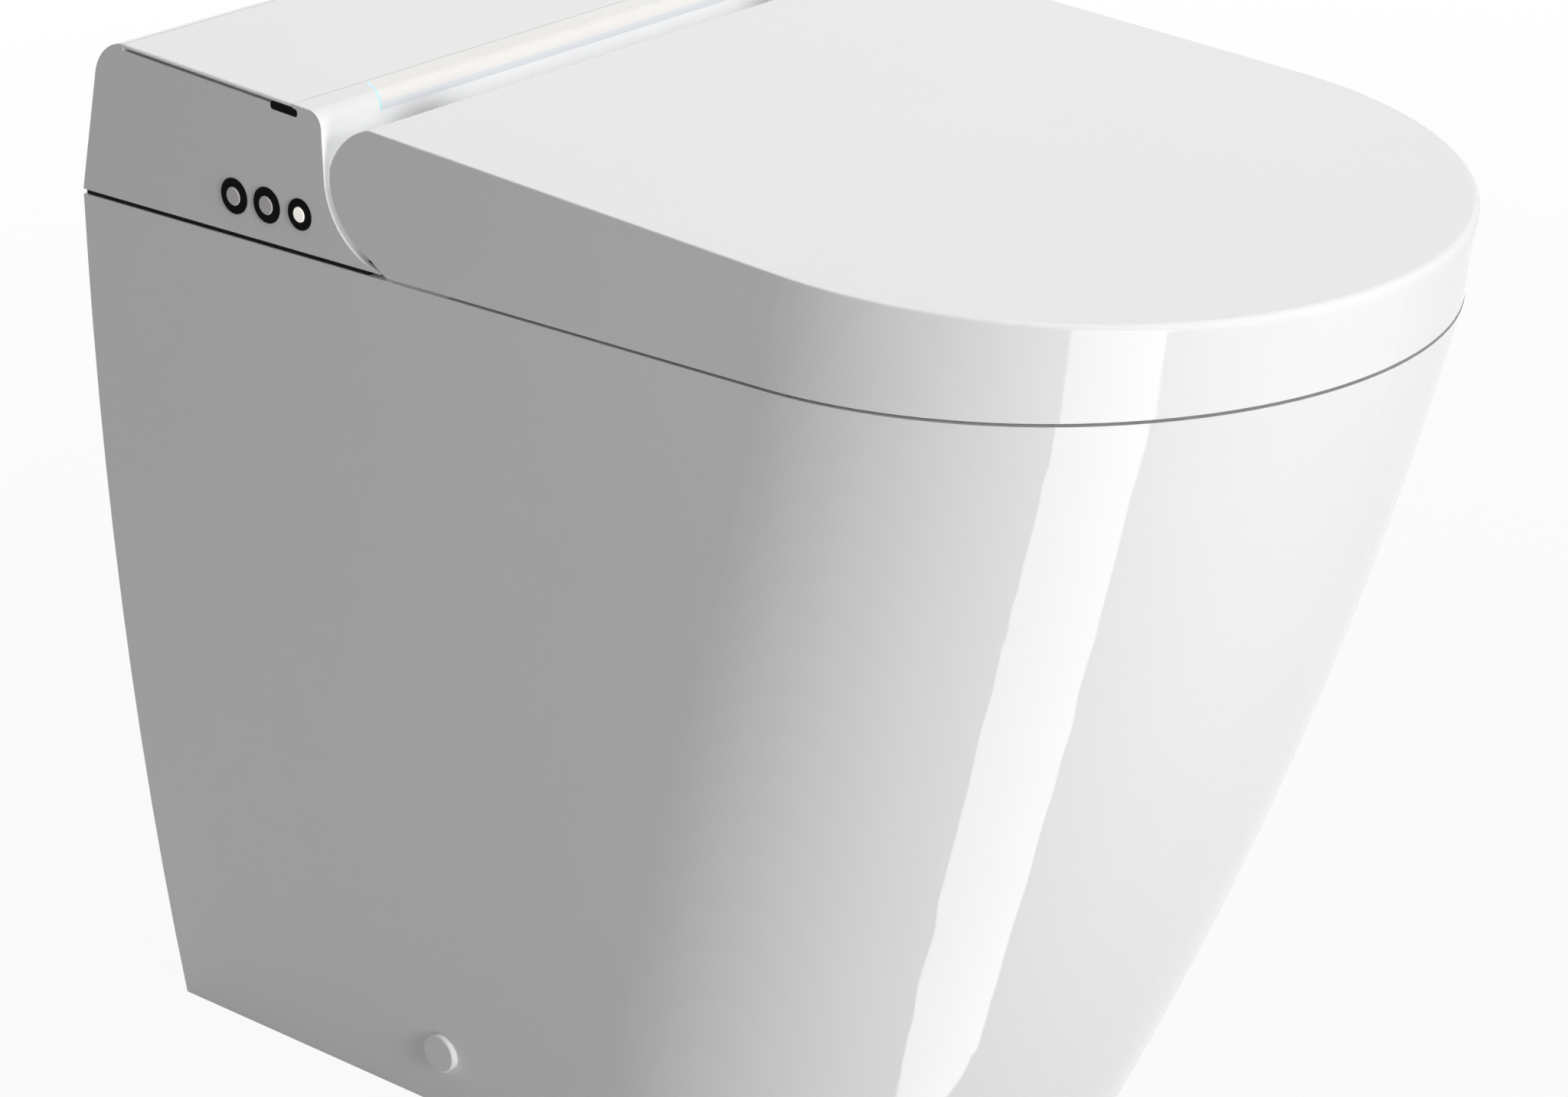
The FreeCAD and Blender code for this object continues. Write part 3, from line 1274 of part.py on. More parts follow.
motor_span = (f"{ear_outer} - motor_length", ear_outer)
motor_case = cross_rod("motor_case", "motor_radius", motor_span, "gear_u", gear_v)
motor_bore = cross_rod("motor_bore", "motor_shaft_radius + running_gap",
                       (f"{ear_outer} - motor_shaft_entry", ear_outer), "gear_u", gear_v)
node(cut("nozzle_motor", motor_case, motor_bore))

# Dryer: fan casing with wheel and motor, a sloping duct with the heating coil, and an outlet flap.
fan_y = "(rear_y - fan_setback)"
fan_top = f"({chassis_top} + fan_height)"
fan_span = (chassis_top, fan_top)
duct_sides = (f"{dryer_x} - duct_width / 2", f"{dryer_x} + duct_width / 2")
duct_inner = (f"{duct_sides[0]} + duct_wall", f"{duct_sides[1]} - duct_wall")
duct_inner_half = "(duct_half_height - duct_wall)"
duct_end = "(duct_front + duct_length)"
duct_air = tilted_block("duct_air", duct_inner, ("0", duct_end), (f"-{duct_inner_half}", duct_inner_half))
fan_outer = rod("fan_outer", "fan_radius", fan_x, fan_y, fan_span)
fan_inner = rod("fan_inner", "fan_radius - fan_wall", fan_x, fan_y,
                (f"{chassis_top} + fan_wall", f"{fan_top} - fan_wall"))
fan_inlet = rod("fan_inlet", "fan_inlet_radius", fan_x, fan_y,
                (f"{fan_top} - fan_wall * 2", f"{fan_top} + fan_wall"))
node(cut("dryer_fan_casing", fan_outer, fan_inner, fan_inlet, duct_air))
flap_v = "(duct_half_height - flap_thickness - slide_gap)"
duct_body = tilted_block("duct_body", duct_sides, ("duct_front", duct_end),
                         ("-duct_half_height", "duct_half_height"))
ears = tilted_block("duct_ears", duct_sides, ("0", "duct_front"),
                    ("duct_half_height / 4", "duct_half_height"))
ear_space = tilted_block("ear_space", duct_inner, ("-duct_front", "duct_front"),
                         ("0", "duct_half_height * 2"))
flap_bore = cross_rod("flap_bore", "flap_pin_radius + flap_pin_gap", duct_sides, "flap_u", flap_v)
node(cut("dryer_duct", fuse("duct_solid", duct_body, ears), duct_air, ear_space, flap_bore, fan_outer))
flap_sides = (f"{duct_inner[0]} + slide_gap", f"{duct_inner[1]} - slide_gap")
flap_plate = tilted_block("flap_plate", flap_sides,
                          ("flap_u - flap_thickness / 2", "flap_u + flap_thickness / 2"),
                          ("-duct_half_height + fit_gap", flap_v))
flap_knuckle = cross_rod("flap_knuckle", "flap_thickness", flap_sides, "flap_u", flap_v)
flap_pin = cross_rod("flap_pin", "flap_pin_radius", duct_sides, "flap_u", flap_v)
node(fuse("dryer_flap", flap_plate, flap_knuckle, flap_pin))

motor_low = f"({chassis_top} + fan_wall)"
motor_high = f"({motor_low} + fan_motor_height)"
disc_low = f"({motor_high} + wheel_gap)"
disc_high = f"({disc_low} + wheel_disc)"
fan_spindle = rod("fan_spindle", "motor_shaft_radius", fan_x, fan_y, (motor_high, disc_high))
fan_motor_case = rod("fan_motor_case", "fan_motor_radius", fan_x, fan_y, (motor_low, motor_high))
node(fuse("dryer_motor", fan_motor_case, fan_spindle))
wheel = turned("fan_wheel_disc", [
    ("motor_shaft_radius + running_gap", disc_low), ("wheel_radius", disc_low), ("wheel_radius", disc_high),
    ("motor_shaft_radius + running_gap", disc_high)])
blade = outline("fan_blade", [
    ("wheel_radius - blade_depth", "-blade_thickness / 2"), ("wheel_radius", "-blade_thickness / 2"),
    ("wheel_radius", "blade_thickness / 2"), ("wheel_radius - blade_depth", "blade_thickness / 2")],
    None, "XY_Plane", body=wheel)
blade.setExpression("AttachmentOffset.Base.z", link(f"{disc_high} - wheel_height"))
blade_pad = wheel.newObject("PartDesign::Pad", "fan_blade_pad")
blade_pad.Profile = blade
bind(blade_pad, Length="wheel_height")
blade_ring = wheel.newObject("PartDesign::PolarPattern", "fan_blade_ring")
blade_ring.Originals = [blade_pad]
blade_ring.Axis = (blade, ["N_Axis"])
blade_ring.Angle = 360
blade_ring.Occurrences = int(value("blade_count"))
wheel.Tip = blade_ring
wheel.Label = "dryer_fan_wheel"
node(place(wheel, fan_x, fan_y))

coil_span = ("coil_start", "coil_start + coil_length")
coil_bar = tilted_block("coil_bar", duct_inner, ("coil_start", "coil_start + coil_thickness * 3"),
                        ("-duct_wall", "duct_wall"))
coil_pieces = [coil_bar]
for number in range(int(value("coil_plates"))):
    at_x = f"({dryer_x} + duct_width * coil_spread * (({number} + 0.5) / coil_plates - 0.5))"
    coil_pieces.append(tilted_block(f"coil_plate_{number}",
                                    (f"{at_x} - coil_thickness / 2", f"{at_x} + coil_thickness / 2"),
                                    coil_span, (f"-{duct_inner_half}", duct_inner_half)))
node(fuse("dryer_heater", *coil_pieces))

# Water side: inlet nipple and valve, instant heater, hoses, flush valve and the pipe to the rim.
heater_y = (f"{front_wall} + heater_front_setback", f"{front_wall} + heater_front_setback + heater_depth")
heater_block = block("heater_block", heater_x, heater_y, (chassis_top, f"{chassis_top} + heater_height"))
node(rounded("water_heater", heater_block, "heater_round",
             lambda at, box: box.ZLength > box.XLength + box.YLength))
shoulder = "(nipple_radius + nipple_shoulder)"
shoulder_end = "-(chassis_thickness + seam_gap + deck_thickness + nipple_gap)"
nipple = turned("inlet_nipple", [
    ("nipple_bore", "0"), (shoulder, "0"), (shoulder, shoulder_end), ("nipple_radius", shoulder_end),
    ("nipple_radius", "-nipple_length"), ("nipple_bore", "-nipple_length")])
node(place(nipple, inlet_x, inlet_y, chassis_top))
valve_half = "valve_size / 2"
valve_top = f"({chassis_top} + valve_height)"
valve_block = block("valve_block", (f"{inlet_x} - {valve_half}", f"{inlet_x} + {valve_half}"),
                    (f"{inlet_y} - {valve_half}", f"{inlet_y} + {valve_half}"), (chassis_top, valve_top))
valve_coil = rod("valve_coil", "coil_radius", inlet_x, inlet_y, (valve_top, f"{valve_top} + coil_height"))
node(fuse("inlet_valve", valve_block, valve_coil))
node(rod("inlet_hose", "hose_radius", inlet_x, (heater_y[1], f"{inlet_y} - {valve_half}"),
         f"{chassis_top} + valve_height / 2"))
hose_y, hose_low = tilted("hose_u", "0")
hose_corner = f"({hose_end} + hose_bend + hose_lead)"
hose_high = f"({chassis_top} + heater_height - hose_drop)"
hose_points = [(heater_x[0], hose_y, hose_high), (hose_corner, hose_y, hose_high),
               (hose_corner, hose_y, hose_low), (hose_end, hose_y, hose_low)]
node(tube("wash_hose", hose_points, "hose_bend", "hose_radius"))
node(block("flush_valve", (f"{flush_x} - flush_valve_width / 2", f"{flush_x} + flush_valve_width / 2"),
           (f"{inlet_y} - flush_valve_depth / 2", f"{inlet_y} + flush_valve_depth / 2"),
           (chassis_top, f"{chassis_top} + flush_valve_height")))
feed_points = [(flush_x, inlet_y, chassis_top), (flush_x, inlet_y, feed_level),
               (flush_x, feed_front, feed_level)]
node(cut("rim_feed_pipe", tube("feed_outside", feed_points, "feed_bend", "feed_radius"),
         tube("feed_inside", feed_points, "feed_bend", "feed_bore")))

# Electric side: control board on pillars, power supply, deodoriser cartridge and cable gland.
board_x = (f"-{inner_side} + unit_gap", f"-{inner_side} + unit_gap + board_length")
board_y = (f"{front_wall} + board_front_setback", f"{front_wall} + board_front_setback + board_depth")
board_low = f"({chassis_top} + board_rise)"
board_high = f"({board_low} + board_thickness)"
board_pieces = [block("board_plate", board_x, board_y, (board_low, board_high))]
board_pieces.append(block("board_chip", (f"{board_x[0]} + chip_size", f"{board_x[0]} + chip_size * 2"),
                          (f"{board_y[0]} + chip_size", f"{board_y[0]} + chip_size * 2"),
                          (board_high, f"{board_high} + chip_height")))
relay_x = (f"{board_x[1]} - pillar_inset - relay_length", f"{board_x[1]} - pillar_inset")
for number in range(3):
    relay_y = f"{board_y[0]} + pillar_inset + relay_pitch * {number}"
    board_pieces.append(block(f"board_relay_{number}", relay_x, (relay_y, f"{relay_y} + relay_depth"),
                              (board_high, f"{board_high} + relay_height")))
pillar_y = (f"{board_y[0]} + pillar_inset", f"{board_y[1]} - pillar_inset")
for side, x in (("left", f"{board_x[0]} + pillar_inset"), ("right", f"{board_x[1]} - pillar_inset")):
    for end, y in zip(("front", "rear"), pillar_y):
        pillar = rod(f"board_pillar_{side}_{end}", "pillar_radius", x, y, (chassis_top, board_low))
        board_pieces.append(pillar)
node(fuse("control_board", *board_pieces))
node(block("power_supply", (board_x[0], f"{board_x[0]} + supply_width"),
           ("rear_y - supply_setback - supply_depth", "rear_y - supply_setback"),
           (chassis_top, f"{chassis_top} + supply_height")))
filter_y = f"({front_wall} + filter_front_setback)"
filter_x = f"(filter_inset - {inner_side})"
node(block("deodoriser_cartridge", (filter_x, f"{filter_x} + filter_width"),
           (filter_y, f"{filter_y} + filter_depth"), (chassis_top, f"{chassis_top} + filter_height")))
gland = turned("cable_gland", [
    ("gland_bore", "0"), ("gland_radius", "0"), ("gland_radius", "rear_lean"),
    ("gland_bore", "rear_lean")])
turn(gland, x_axis, -90)
node(place(gland, gland_x, gland_y, gland_z))

doc.recompute()
for item in doc.Objects:
    if "Invalid" in item.State or "Error" in item.State:
        raise RuntimeError(f"{item.Name} did not build: {item.State}")
for item in nodes:
    if item.Shape.isNull() or not item.Shape.isValid():
        raise RuntimeError(f"{item.Label} has no valid shape")
os.makedirs("parts", exist_ok=True)
for item in nodes:
    item.Shape.exportStep(f"parts/{item.Label}.step")
    print(item.Label, len(item.Shape.Solids), round(item.Shape.Volume / 1000, 2), "cm3")
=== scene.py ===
import json
import math
import bpy
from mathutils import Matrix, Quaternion, Vector

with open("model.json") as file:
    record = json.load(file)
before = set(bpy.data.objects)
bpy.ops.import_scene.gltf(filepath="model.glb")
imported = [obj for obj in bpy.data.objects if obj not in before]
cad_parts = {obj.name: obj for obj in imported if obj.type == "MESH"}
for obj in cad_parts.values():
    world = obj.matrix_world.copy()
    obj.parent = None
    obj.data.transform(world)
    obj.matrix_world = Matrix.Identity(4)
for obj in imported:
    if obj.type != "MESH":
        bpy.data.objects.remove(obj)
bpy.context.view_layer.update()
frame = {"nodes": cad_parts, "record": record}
nodes = frame["nodes"]
scene = bpy.context.scene
bpy.ops.object.select_all(action="DESELECT")
print("frame loaded:", len(nodes), "nodes")


def newFinish(name):
    finish = bpy.data.materials.new(name)
    finish.use_nodes = True
    tree = finish.node_tree
    return finish, tree, tree.nodes["Principled BSDF"]


def addNode(tree, kind, settings=None, **fields):
    item = tree.nodes.new(kind)
    for field, value in fields.items():
        setattr(item, field, value)
    for socket, value in (settings or {}).items():
        item.inputs[socket].default_value = value
    return item


def stretched(tree, scale=(1, 1, 1)):  # object coordinates, stretched for a pattern
    coords = addNode(tree, "ShaderNodeTexCoord")
    mapping = addNode(tree, "ShaderNodeMapping", {"Scale": scale})
    tree.links.new(coords.outputs["Object"], mapping.inputs["Vector"])
    return mapping.outputs["Vector"]


def cloud(tree, where, scale, detail=3, rough=0.5, distort=0):
    noise = addNode(tree, "ShaderNodeTexNoise", {"Scale": scale, "Detail": detail, "Roughness": rough,
                                                 "Distortion": distort})
    tree.links.new(where, noise.inputs["Vector"])
    return noise.outputs["Fac"]


def spread(tree, source, low, high, fromLow=0.3, fromHigh=0.7):  # maps a pattern's middle range to low..high
    limits = {"From Min": fromLow, "From Max": fromHigh, "To Min": low, "To Max": high}
    item = addNode(tree, "ShaderNodeMapRange", limits)
    tree.links.new(source, item.inputs["Value"])
    return item.outputs["Result"]


def shades(tree, source, stops):
    ramp = addNode(tree, "ShaderNodeValToRGB")
    marks = ramp.color_ramp.elements
    while len(marks) < len(stops):
        marks.new(0.5)
    for mark, (place, colour) in zip(marks, stops):
        mark.position = place
        mark.color = (*colour, 1)
    tree.links.new(source, ramp.inputs["Fac"])
    return ramp.outputs["Color"]


def relief(tree, source, height, before=None):
    bump = addNode(tree, "ShaderNodeBump", {"Strength": 1.0, "Distance": height})
    tree.links.new(source, bump.inputs["Height"])
    if before:
        tree.links.new(before, bump.inputs["Normal"])
    return bump.outputs["Normal"]


def dimmed(colour, share):
    return tuple(channel * share for channel in colour)


def combined(tree, operation, first, second):
    item = addNode(tree, "ShaderNodeMath", operation=operation)
    tree.links.new(first, item.inputs[0])
    tree.links.new(second, item.inputs[1])
    return item.outputs["Value"]


def within(tree, where, axis, low, high, soft):  # 1 between two planes across an axis, fading over soft
    split = addNode(tree, "ShaderNodeSeparateXYZ")
    tree.links.new(where, split.inputs["Vector"])
    middle = addNode(tree, "ShaderNodeMath", {1: (low + high) / 2}, operation="SUBTRACT")
    tree.links.new(split.outputs[axis], middle.inputs[0])
    away = addNode(tree, "ShaderNodeMath", operation="ABSOLUTE")
    tree.links.new(middle.outputs["Value"], away.inputs[0])
    half = (high - low) / 2
    return spread(tree, away.outputs["Value"], 1, 0, half - soft, half)


def glowing(tree, shader, where, glow):  # soft light within a box in the part's own frame
    share = None
    for axis, (low, high, soft) in glow["box"].items():
        mask = within(tree, where, axis, low, high, soft)
        share = combined(tree, "MULTIPLY", share, mask) if share else mask
    tree.links.new(spread(tree, share, 0, glow["strength"], 0, 1), shader.inputs["Emission Strength"])
    shader.inputs["Emission Color"].default_value = (*glow["colour"], 1)


def seenBy(tree, *kinds):  # 1 for rays of these kinds
    rays = addNode(tree, "ShaderNodeLightPath")
    share = rays.outputs[kinds[0]]
    for kind in kinds[1:]:
        share = combined(tree, "MAXIMUM", share, rays.outputs[kind])
    return share


def smoothed(points, steps):  # a smooth curve through these points
    ends = [points[0], *points, points[-1]]
    curve = []
    for group in zip(ends, ends[1:], ends[2:], ends[3:]):
        for t in (step / steps for step in range(steps)):
            curve.append([b + t * (c - a + t * (2 * a - 5 * b + 4 * c - d + t * (3 * b - a - 3 * c + d))) / 2
                          for a, b, c, d in zip(*group)])
    return curve + [points[-1]]


def polishedFinish(name, look):  # fired glaze and polished mouldings
    finish, tree, shader = newFinish(name)
    where = stretched(tree)
    drift = cloud(tree, where, look["driftScale"], 4, 0.6)
    colour = shades(tree, drift, [(0.3, dimmed(look["colour"], look["drift"])), (0.7, look["colour"])])
    tree.links.new(colour, shader.inputs["Base Color"])
    if "glow" in look:
        glowing(tree, shader, where, look["glow"])
    smudge = cloud(tree, where, look["smudgeScale"], 6, 0.65, 0.4)
    tree.links.new(spread(tree, smudge, *look["roughness"]), shader.inputs["Roughness"])
    peel = relief(tree, cloud(tree, where, look["peelScale"], 1), look["peel"])
    grain = relief(tree, cloud(tree, where, look["grainScale"], 3), look["grain"], peel)
    tree.links.new(grain, shader.inputs["Normal"])
    shader.inputs["IOR"].default_value = look["ior"]
    shader.inputs["Coat Weight"].default_value = look["coat"]
    shader.inputs["Coat Roughness"].default_value = look["coatRoughness"]
    shader.inputs["Specular IOR Level"].default_value = look["specular"]
    return finish


def mouldedFinish(name, look):  # satin mouldings with a spark-eroded grain
    finish, tree, shader = newFinish(name)
    where = stretched(tree)
    drift = cloud(tree, where, look["driftScale"], 4, 0.6)
    colour = shades(tree, drift, [(0.25, dimmed(look["colour"], look["drift"])), (0.75, look["colour"])])
    tree.links.new(colour, shader.inputs["Base Color"])
    smudge = cloud(tree, where, look["smudgeScale"], 5, 0.6)
    tree.links.new(spread(tree, smudge, *look["roughness"]), shader.inputs["Roughness"])
    cells = addNode(tree, "ShaderNodeTexVoronoi", {"Scale": look["grainScale"]})
    tree.links.new(where, cells.inputs["Vector"])
    grain = relief(tree, cells.outputs["Distance"], look["grain"])
    ripple = relief(tree, cloud(tree, where, look["rippleScale"], 2), look["grain"], grain)
    tree.links.new(ripple, shader.inputs["Normal"])
    shader.inputs["Specular IOR Level"].default_value = look["specular"]
    return finish


def rubberFinish(name, look):  # matt rubber with a dusty bloom
    finish, tree, shader = newFinish(name)
    where = stretched(tree)
    bloom = cloud(tree, where, look["bloomScale"], 6, 0.7)
    pale = tuple(min(1, channel + look["bloom"]) for channel in look["colour"])
    tree.links.new(shades(tree, bloom, [(0.4, look["colour"]), (0.8, pale)]), shader.inputs["Base Color"])
    tree.links.new(spread(tree, bloom, *look["roughness"]), shader.inputs["Roughness"])
    grain = relief(tree, cloud(tree, where, look["grainScale"], 3), look["grain"])
    tree.links.new(grain, shader.inputs["Normal"])
    shader.inputs["Specular IOR Level"].default_value = look["specular"]
    return finish


def metalFinish(name, look):  # drawn, turned or plated metal, its lines along the stretched way
    finish, tree, shader = newFinish(name)
    lines = cloud(tree, stretched(tree, look["lines"]), look["lineScale"], 5, 0.7)
    stain = cloud(tree, stretched(tree), look["stainScale"], 5, 0.65)
    colour = shades(tree, stain, [(0.3, dimmed(look["colour"], look["stain"])), (0.65, look["colour"])])
    tree.links.new(colour, shader.inputs["Base Color"])
    tree.links.new(spread(tree, lines, *look["roughness"]), shader.inputs["Roughness"])
    tree.links.new(relief(tree, lines, look["grain"]), shader.inputs["Normal"])
    shader.inputs["Metallic"].default_value = look["metallic"]
    return finish


def spangleFinish(name, look):  # galvanised sheet with its zinc flowers
    finish, tree, shader = newFinish(name)
    where = stretched(tree)
    cells = addNode(tree, "ShaderNodeTexVoronoi", {"Scale": look["flowerScale"]})
    tree.links.new(where, cells.inputs["Vector"])
    flower = addNode(tree, "ShaderNodeSeparateColor")
    tree.links.new(cells.outputs["Color"], flower.inputs["Color"])
    dark = dimmed(look["colour"], look["drift"])
    tree.links.new(shades(tree, flower.outputs["Red"], [(0, dark), (1, look["colour"])]),
                   shader.inputs["Base Color"])
    roughness = spread(tree, flower.outputs["Green"], *look["roughness"], 0, 1)
    tree.links.new(roughness, shader.inputs["Roughness"])
    tree.links.new(relief(tree, cells.outputs["Distance"], look["grain"]), shader.inputs["Normal"])
    shader.inputs["Metallic"].default_value = 1.0
    return finish


def boardFinish(name, look):  # circuit board: green mask over copper lines
    finish, tree, shader = newFinish(name)
    where = stretched(tree)
    tracks = addNode(tree, "ShaderNodeTexBrick", {
        "Scale": look["trackScale"], "Mortar Size": look["trackWidth"], "Color1": (0, 0, 0, 1),
        "Color2": (0.1, 0.1, 0.1, 1), "Mortar": (1, 1, 1, 1)})
    tree.links.new(where, tracks.inputs["Vector"])
    colour = shades(tree, tracks.outputs["Color"], [(0.05, look["colour"]), (0.6, look["track"])])
    tree.links.new(colour, shader.inputs["Base Color"])
    smudge = cloud(tree, where, look["smudgeScale"], 5)
    tree.links.new(spread(tree, smudge, *look["roughness"]), shader.inputs["Roughness"])
    tree.links.new(relief(tree, tracks.outputs["Color"], look["grain"]), shader.inputs["Normal"])
    return finish


def lightFinish(name, look):  # tinted light guide, lit from behind
    finish, tree, shader = newFinish(name)
    where = stretched(tree)
    haze = cloud(tree, where, look["hazeScale"], 2)
    colour = shades(tree, haze, [(0.3, dimmed(look["colour"], look["drift"])), (0.7, look["colour"])])
    tree.links.new(colour, shader.inputs["Base Color"])
    tree.links.new(colour, shader.inputs["Emission Color"])
    smudge = cloud(tree, where, look["smudgeScale"], 3)
    tree.links.new(spread(tree, smudge, *look["roughness"]), shader.inputs["Roughness"])
    shader.inputs["Emission Strength"].default_value = look["glow"]
    return finish


def hoseFinish(name, look):  # milky silicone tube
    finish, tree, shader = newFinish(name)
    where = stretched(tree)
    haze = cloud(tree, where, look["hazeScale"], 4)
    colour = shades(tree, haze, [(0.3, dimmed(look["colour"], look["drift"])), (0.7, look["colour"])])
    tree.links.new(colour, shader.inputs["Base Color"])
    tree.links.new(spread(tree, haze, *look["roughness"]), shader.inputs["Roughness"])
    grain = relief(tree, cloud(tree, where, look["grainScale"], 2), look["grain"])
    tree.links.new(grain, shader.inputs["Normal"])
    shader.inputs["Subsurface Weight"].default_value = look["milk"]
    shader.inputs["Subsurface Radius"].default_value = look["depth"]
    return finish


def barFinish(name, look):  # front bar: cream above its edge, cool white below; the lower face glows as painted light
    finish, tree, shader = newFinish(name)
    where = stretched(tree)
    split = addNode(tree, "ShaderNodeSeparateXYZ")
    tree.links.new(where, split.inputs["Vector"])
    above = spread(tree, split.outputs["Z"], 0, 1, look["edge"], look["edge"] + look["soft"])
    colour = shades(tree, above, [(0, look["lower"]), (1, look["upper"])])
    haze = cloud(tree, where, look["hazeScale"], 4)
    tint = addNode(tree, "ShaderNodeMix", data_type="RGBA", blend_type="MULTIPLY")
    tint.inputs["Factor"].default_value = 1.0
    tree.links.new(colour, tint.inputs["A"])
    dark = dimmed((1, 1, 1), look["drift"])
    tree.links.new(shades(tree, haze, [(0.3, dark), (0.7, (1, 1, 1))]), tint.inputs["B"])
    tree.links.new(tint.outputs["Result"], shader.inputs["Base Color"])
    tree.links.new(colour, shader.inputs["Emission Color"])
    # painted light: emission that brightens the bar's lower face
    tree.links.new(spread(tree, above, look["glow"], 0, 0, 1), shader.inputs["Emission Strength"])
    tree.links.new(spread(tree, haze, *look["roughness"]), shader.inputs["Roughness"])
    grain = relief(tree, cloud(tree, where, look["grainScale"], 2), look["grain"])
    tree.links.new(grain, shader.inputs["Normal"])
    return finish


# painted light: a soft glow on the hinge channel's wall that brightens it where the lid shades it
paintedChannelLight = dict(colour=(0.95, 0.975, 1.0), strength=0.24,
                   box={"X": (-0.1923, 0.1923, 0.0004), "Y": (0.1, 0.167, 0.013), "Z": (0.456, 0.524, 0.008)})
# lamp behind the front button
buttonGlow = dict(colour=(1.0, 0.96, 0.86), strength=0.45,
                  box={"X": (-0.21, -0.18, 0.001), "Y": (0.1, 0.4, 0.001), "Z": (0.4, 0.6, 0.001)})

# what the finishes of one kind share
gloss = dict(driftScale=5.0, drift=0.985, smudgeScale=22.0, roughness=(0.03, 0.07), peelScale=160.0,
             peel=0.000004, grainScale=2400.0, grain=0.0000006, ior=1.5, coat=0.15, coatRoughness=0.03,
             specular=0.5)
glaze = dict(gloss, driftScale=3.0, drift=0.98, roughness=(0.02, 0.05), peelScale=70.0, peel=0.000012,
             ior=1.52, coat=0.3, coatRoughness=0.02)
satin = dict(gloss, roughness=(0.29, 0.32), peel=0.000004, grain=0.000001, coat=0.0)
moulded = dict(driftScale=18.0, drift=0.94, smudgeScale=90.0, roughness=(0.35, 0.5), rippleScale=240.0,
               grainScale=1500.0, grain=0.00002, specular=0.5)
rubber = dict(bloomScale=60.0, bloom=0.04, roughness=(0.5, 0.7), grainScale=900.0, grain=0.00006,
              specular=0.35)
metal = dict(lineScale=60.0, stainScale=45.0, stain=0.75, roughness=(0.25, 0.45), grain=0.00002, metallic=1.0)

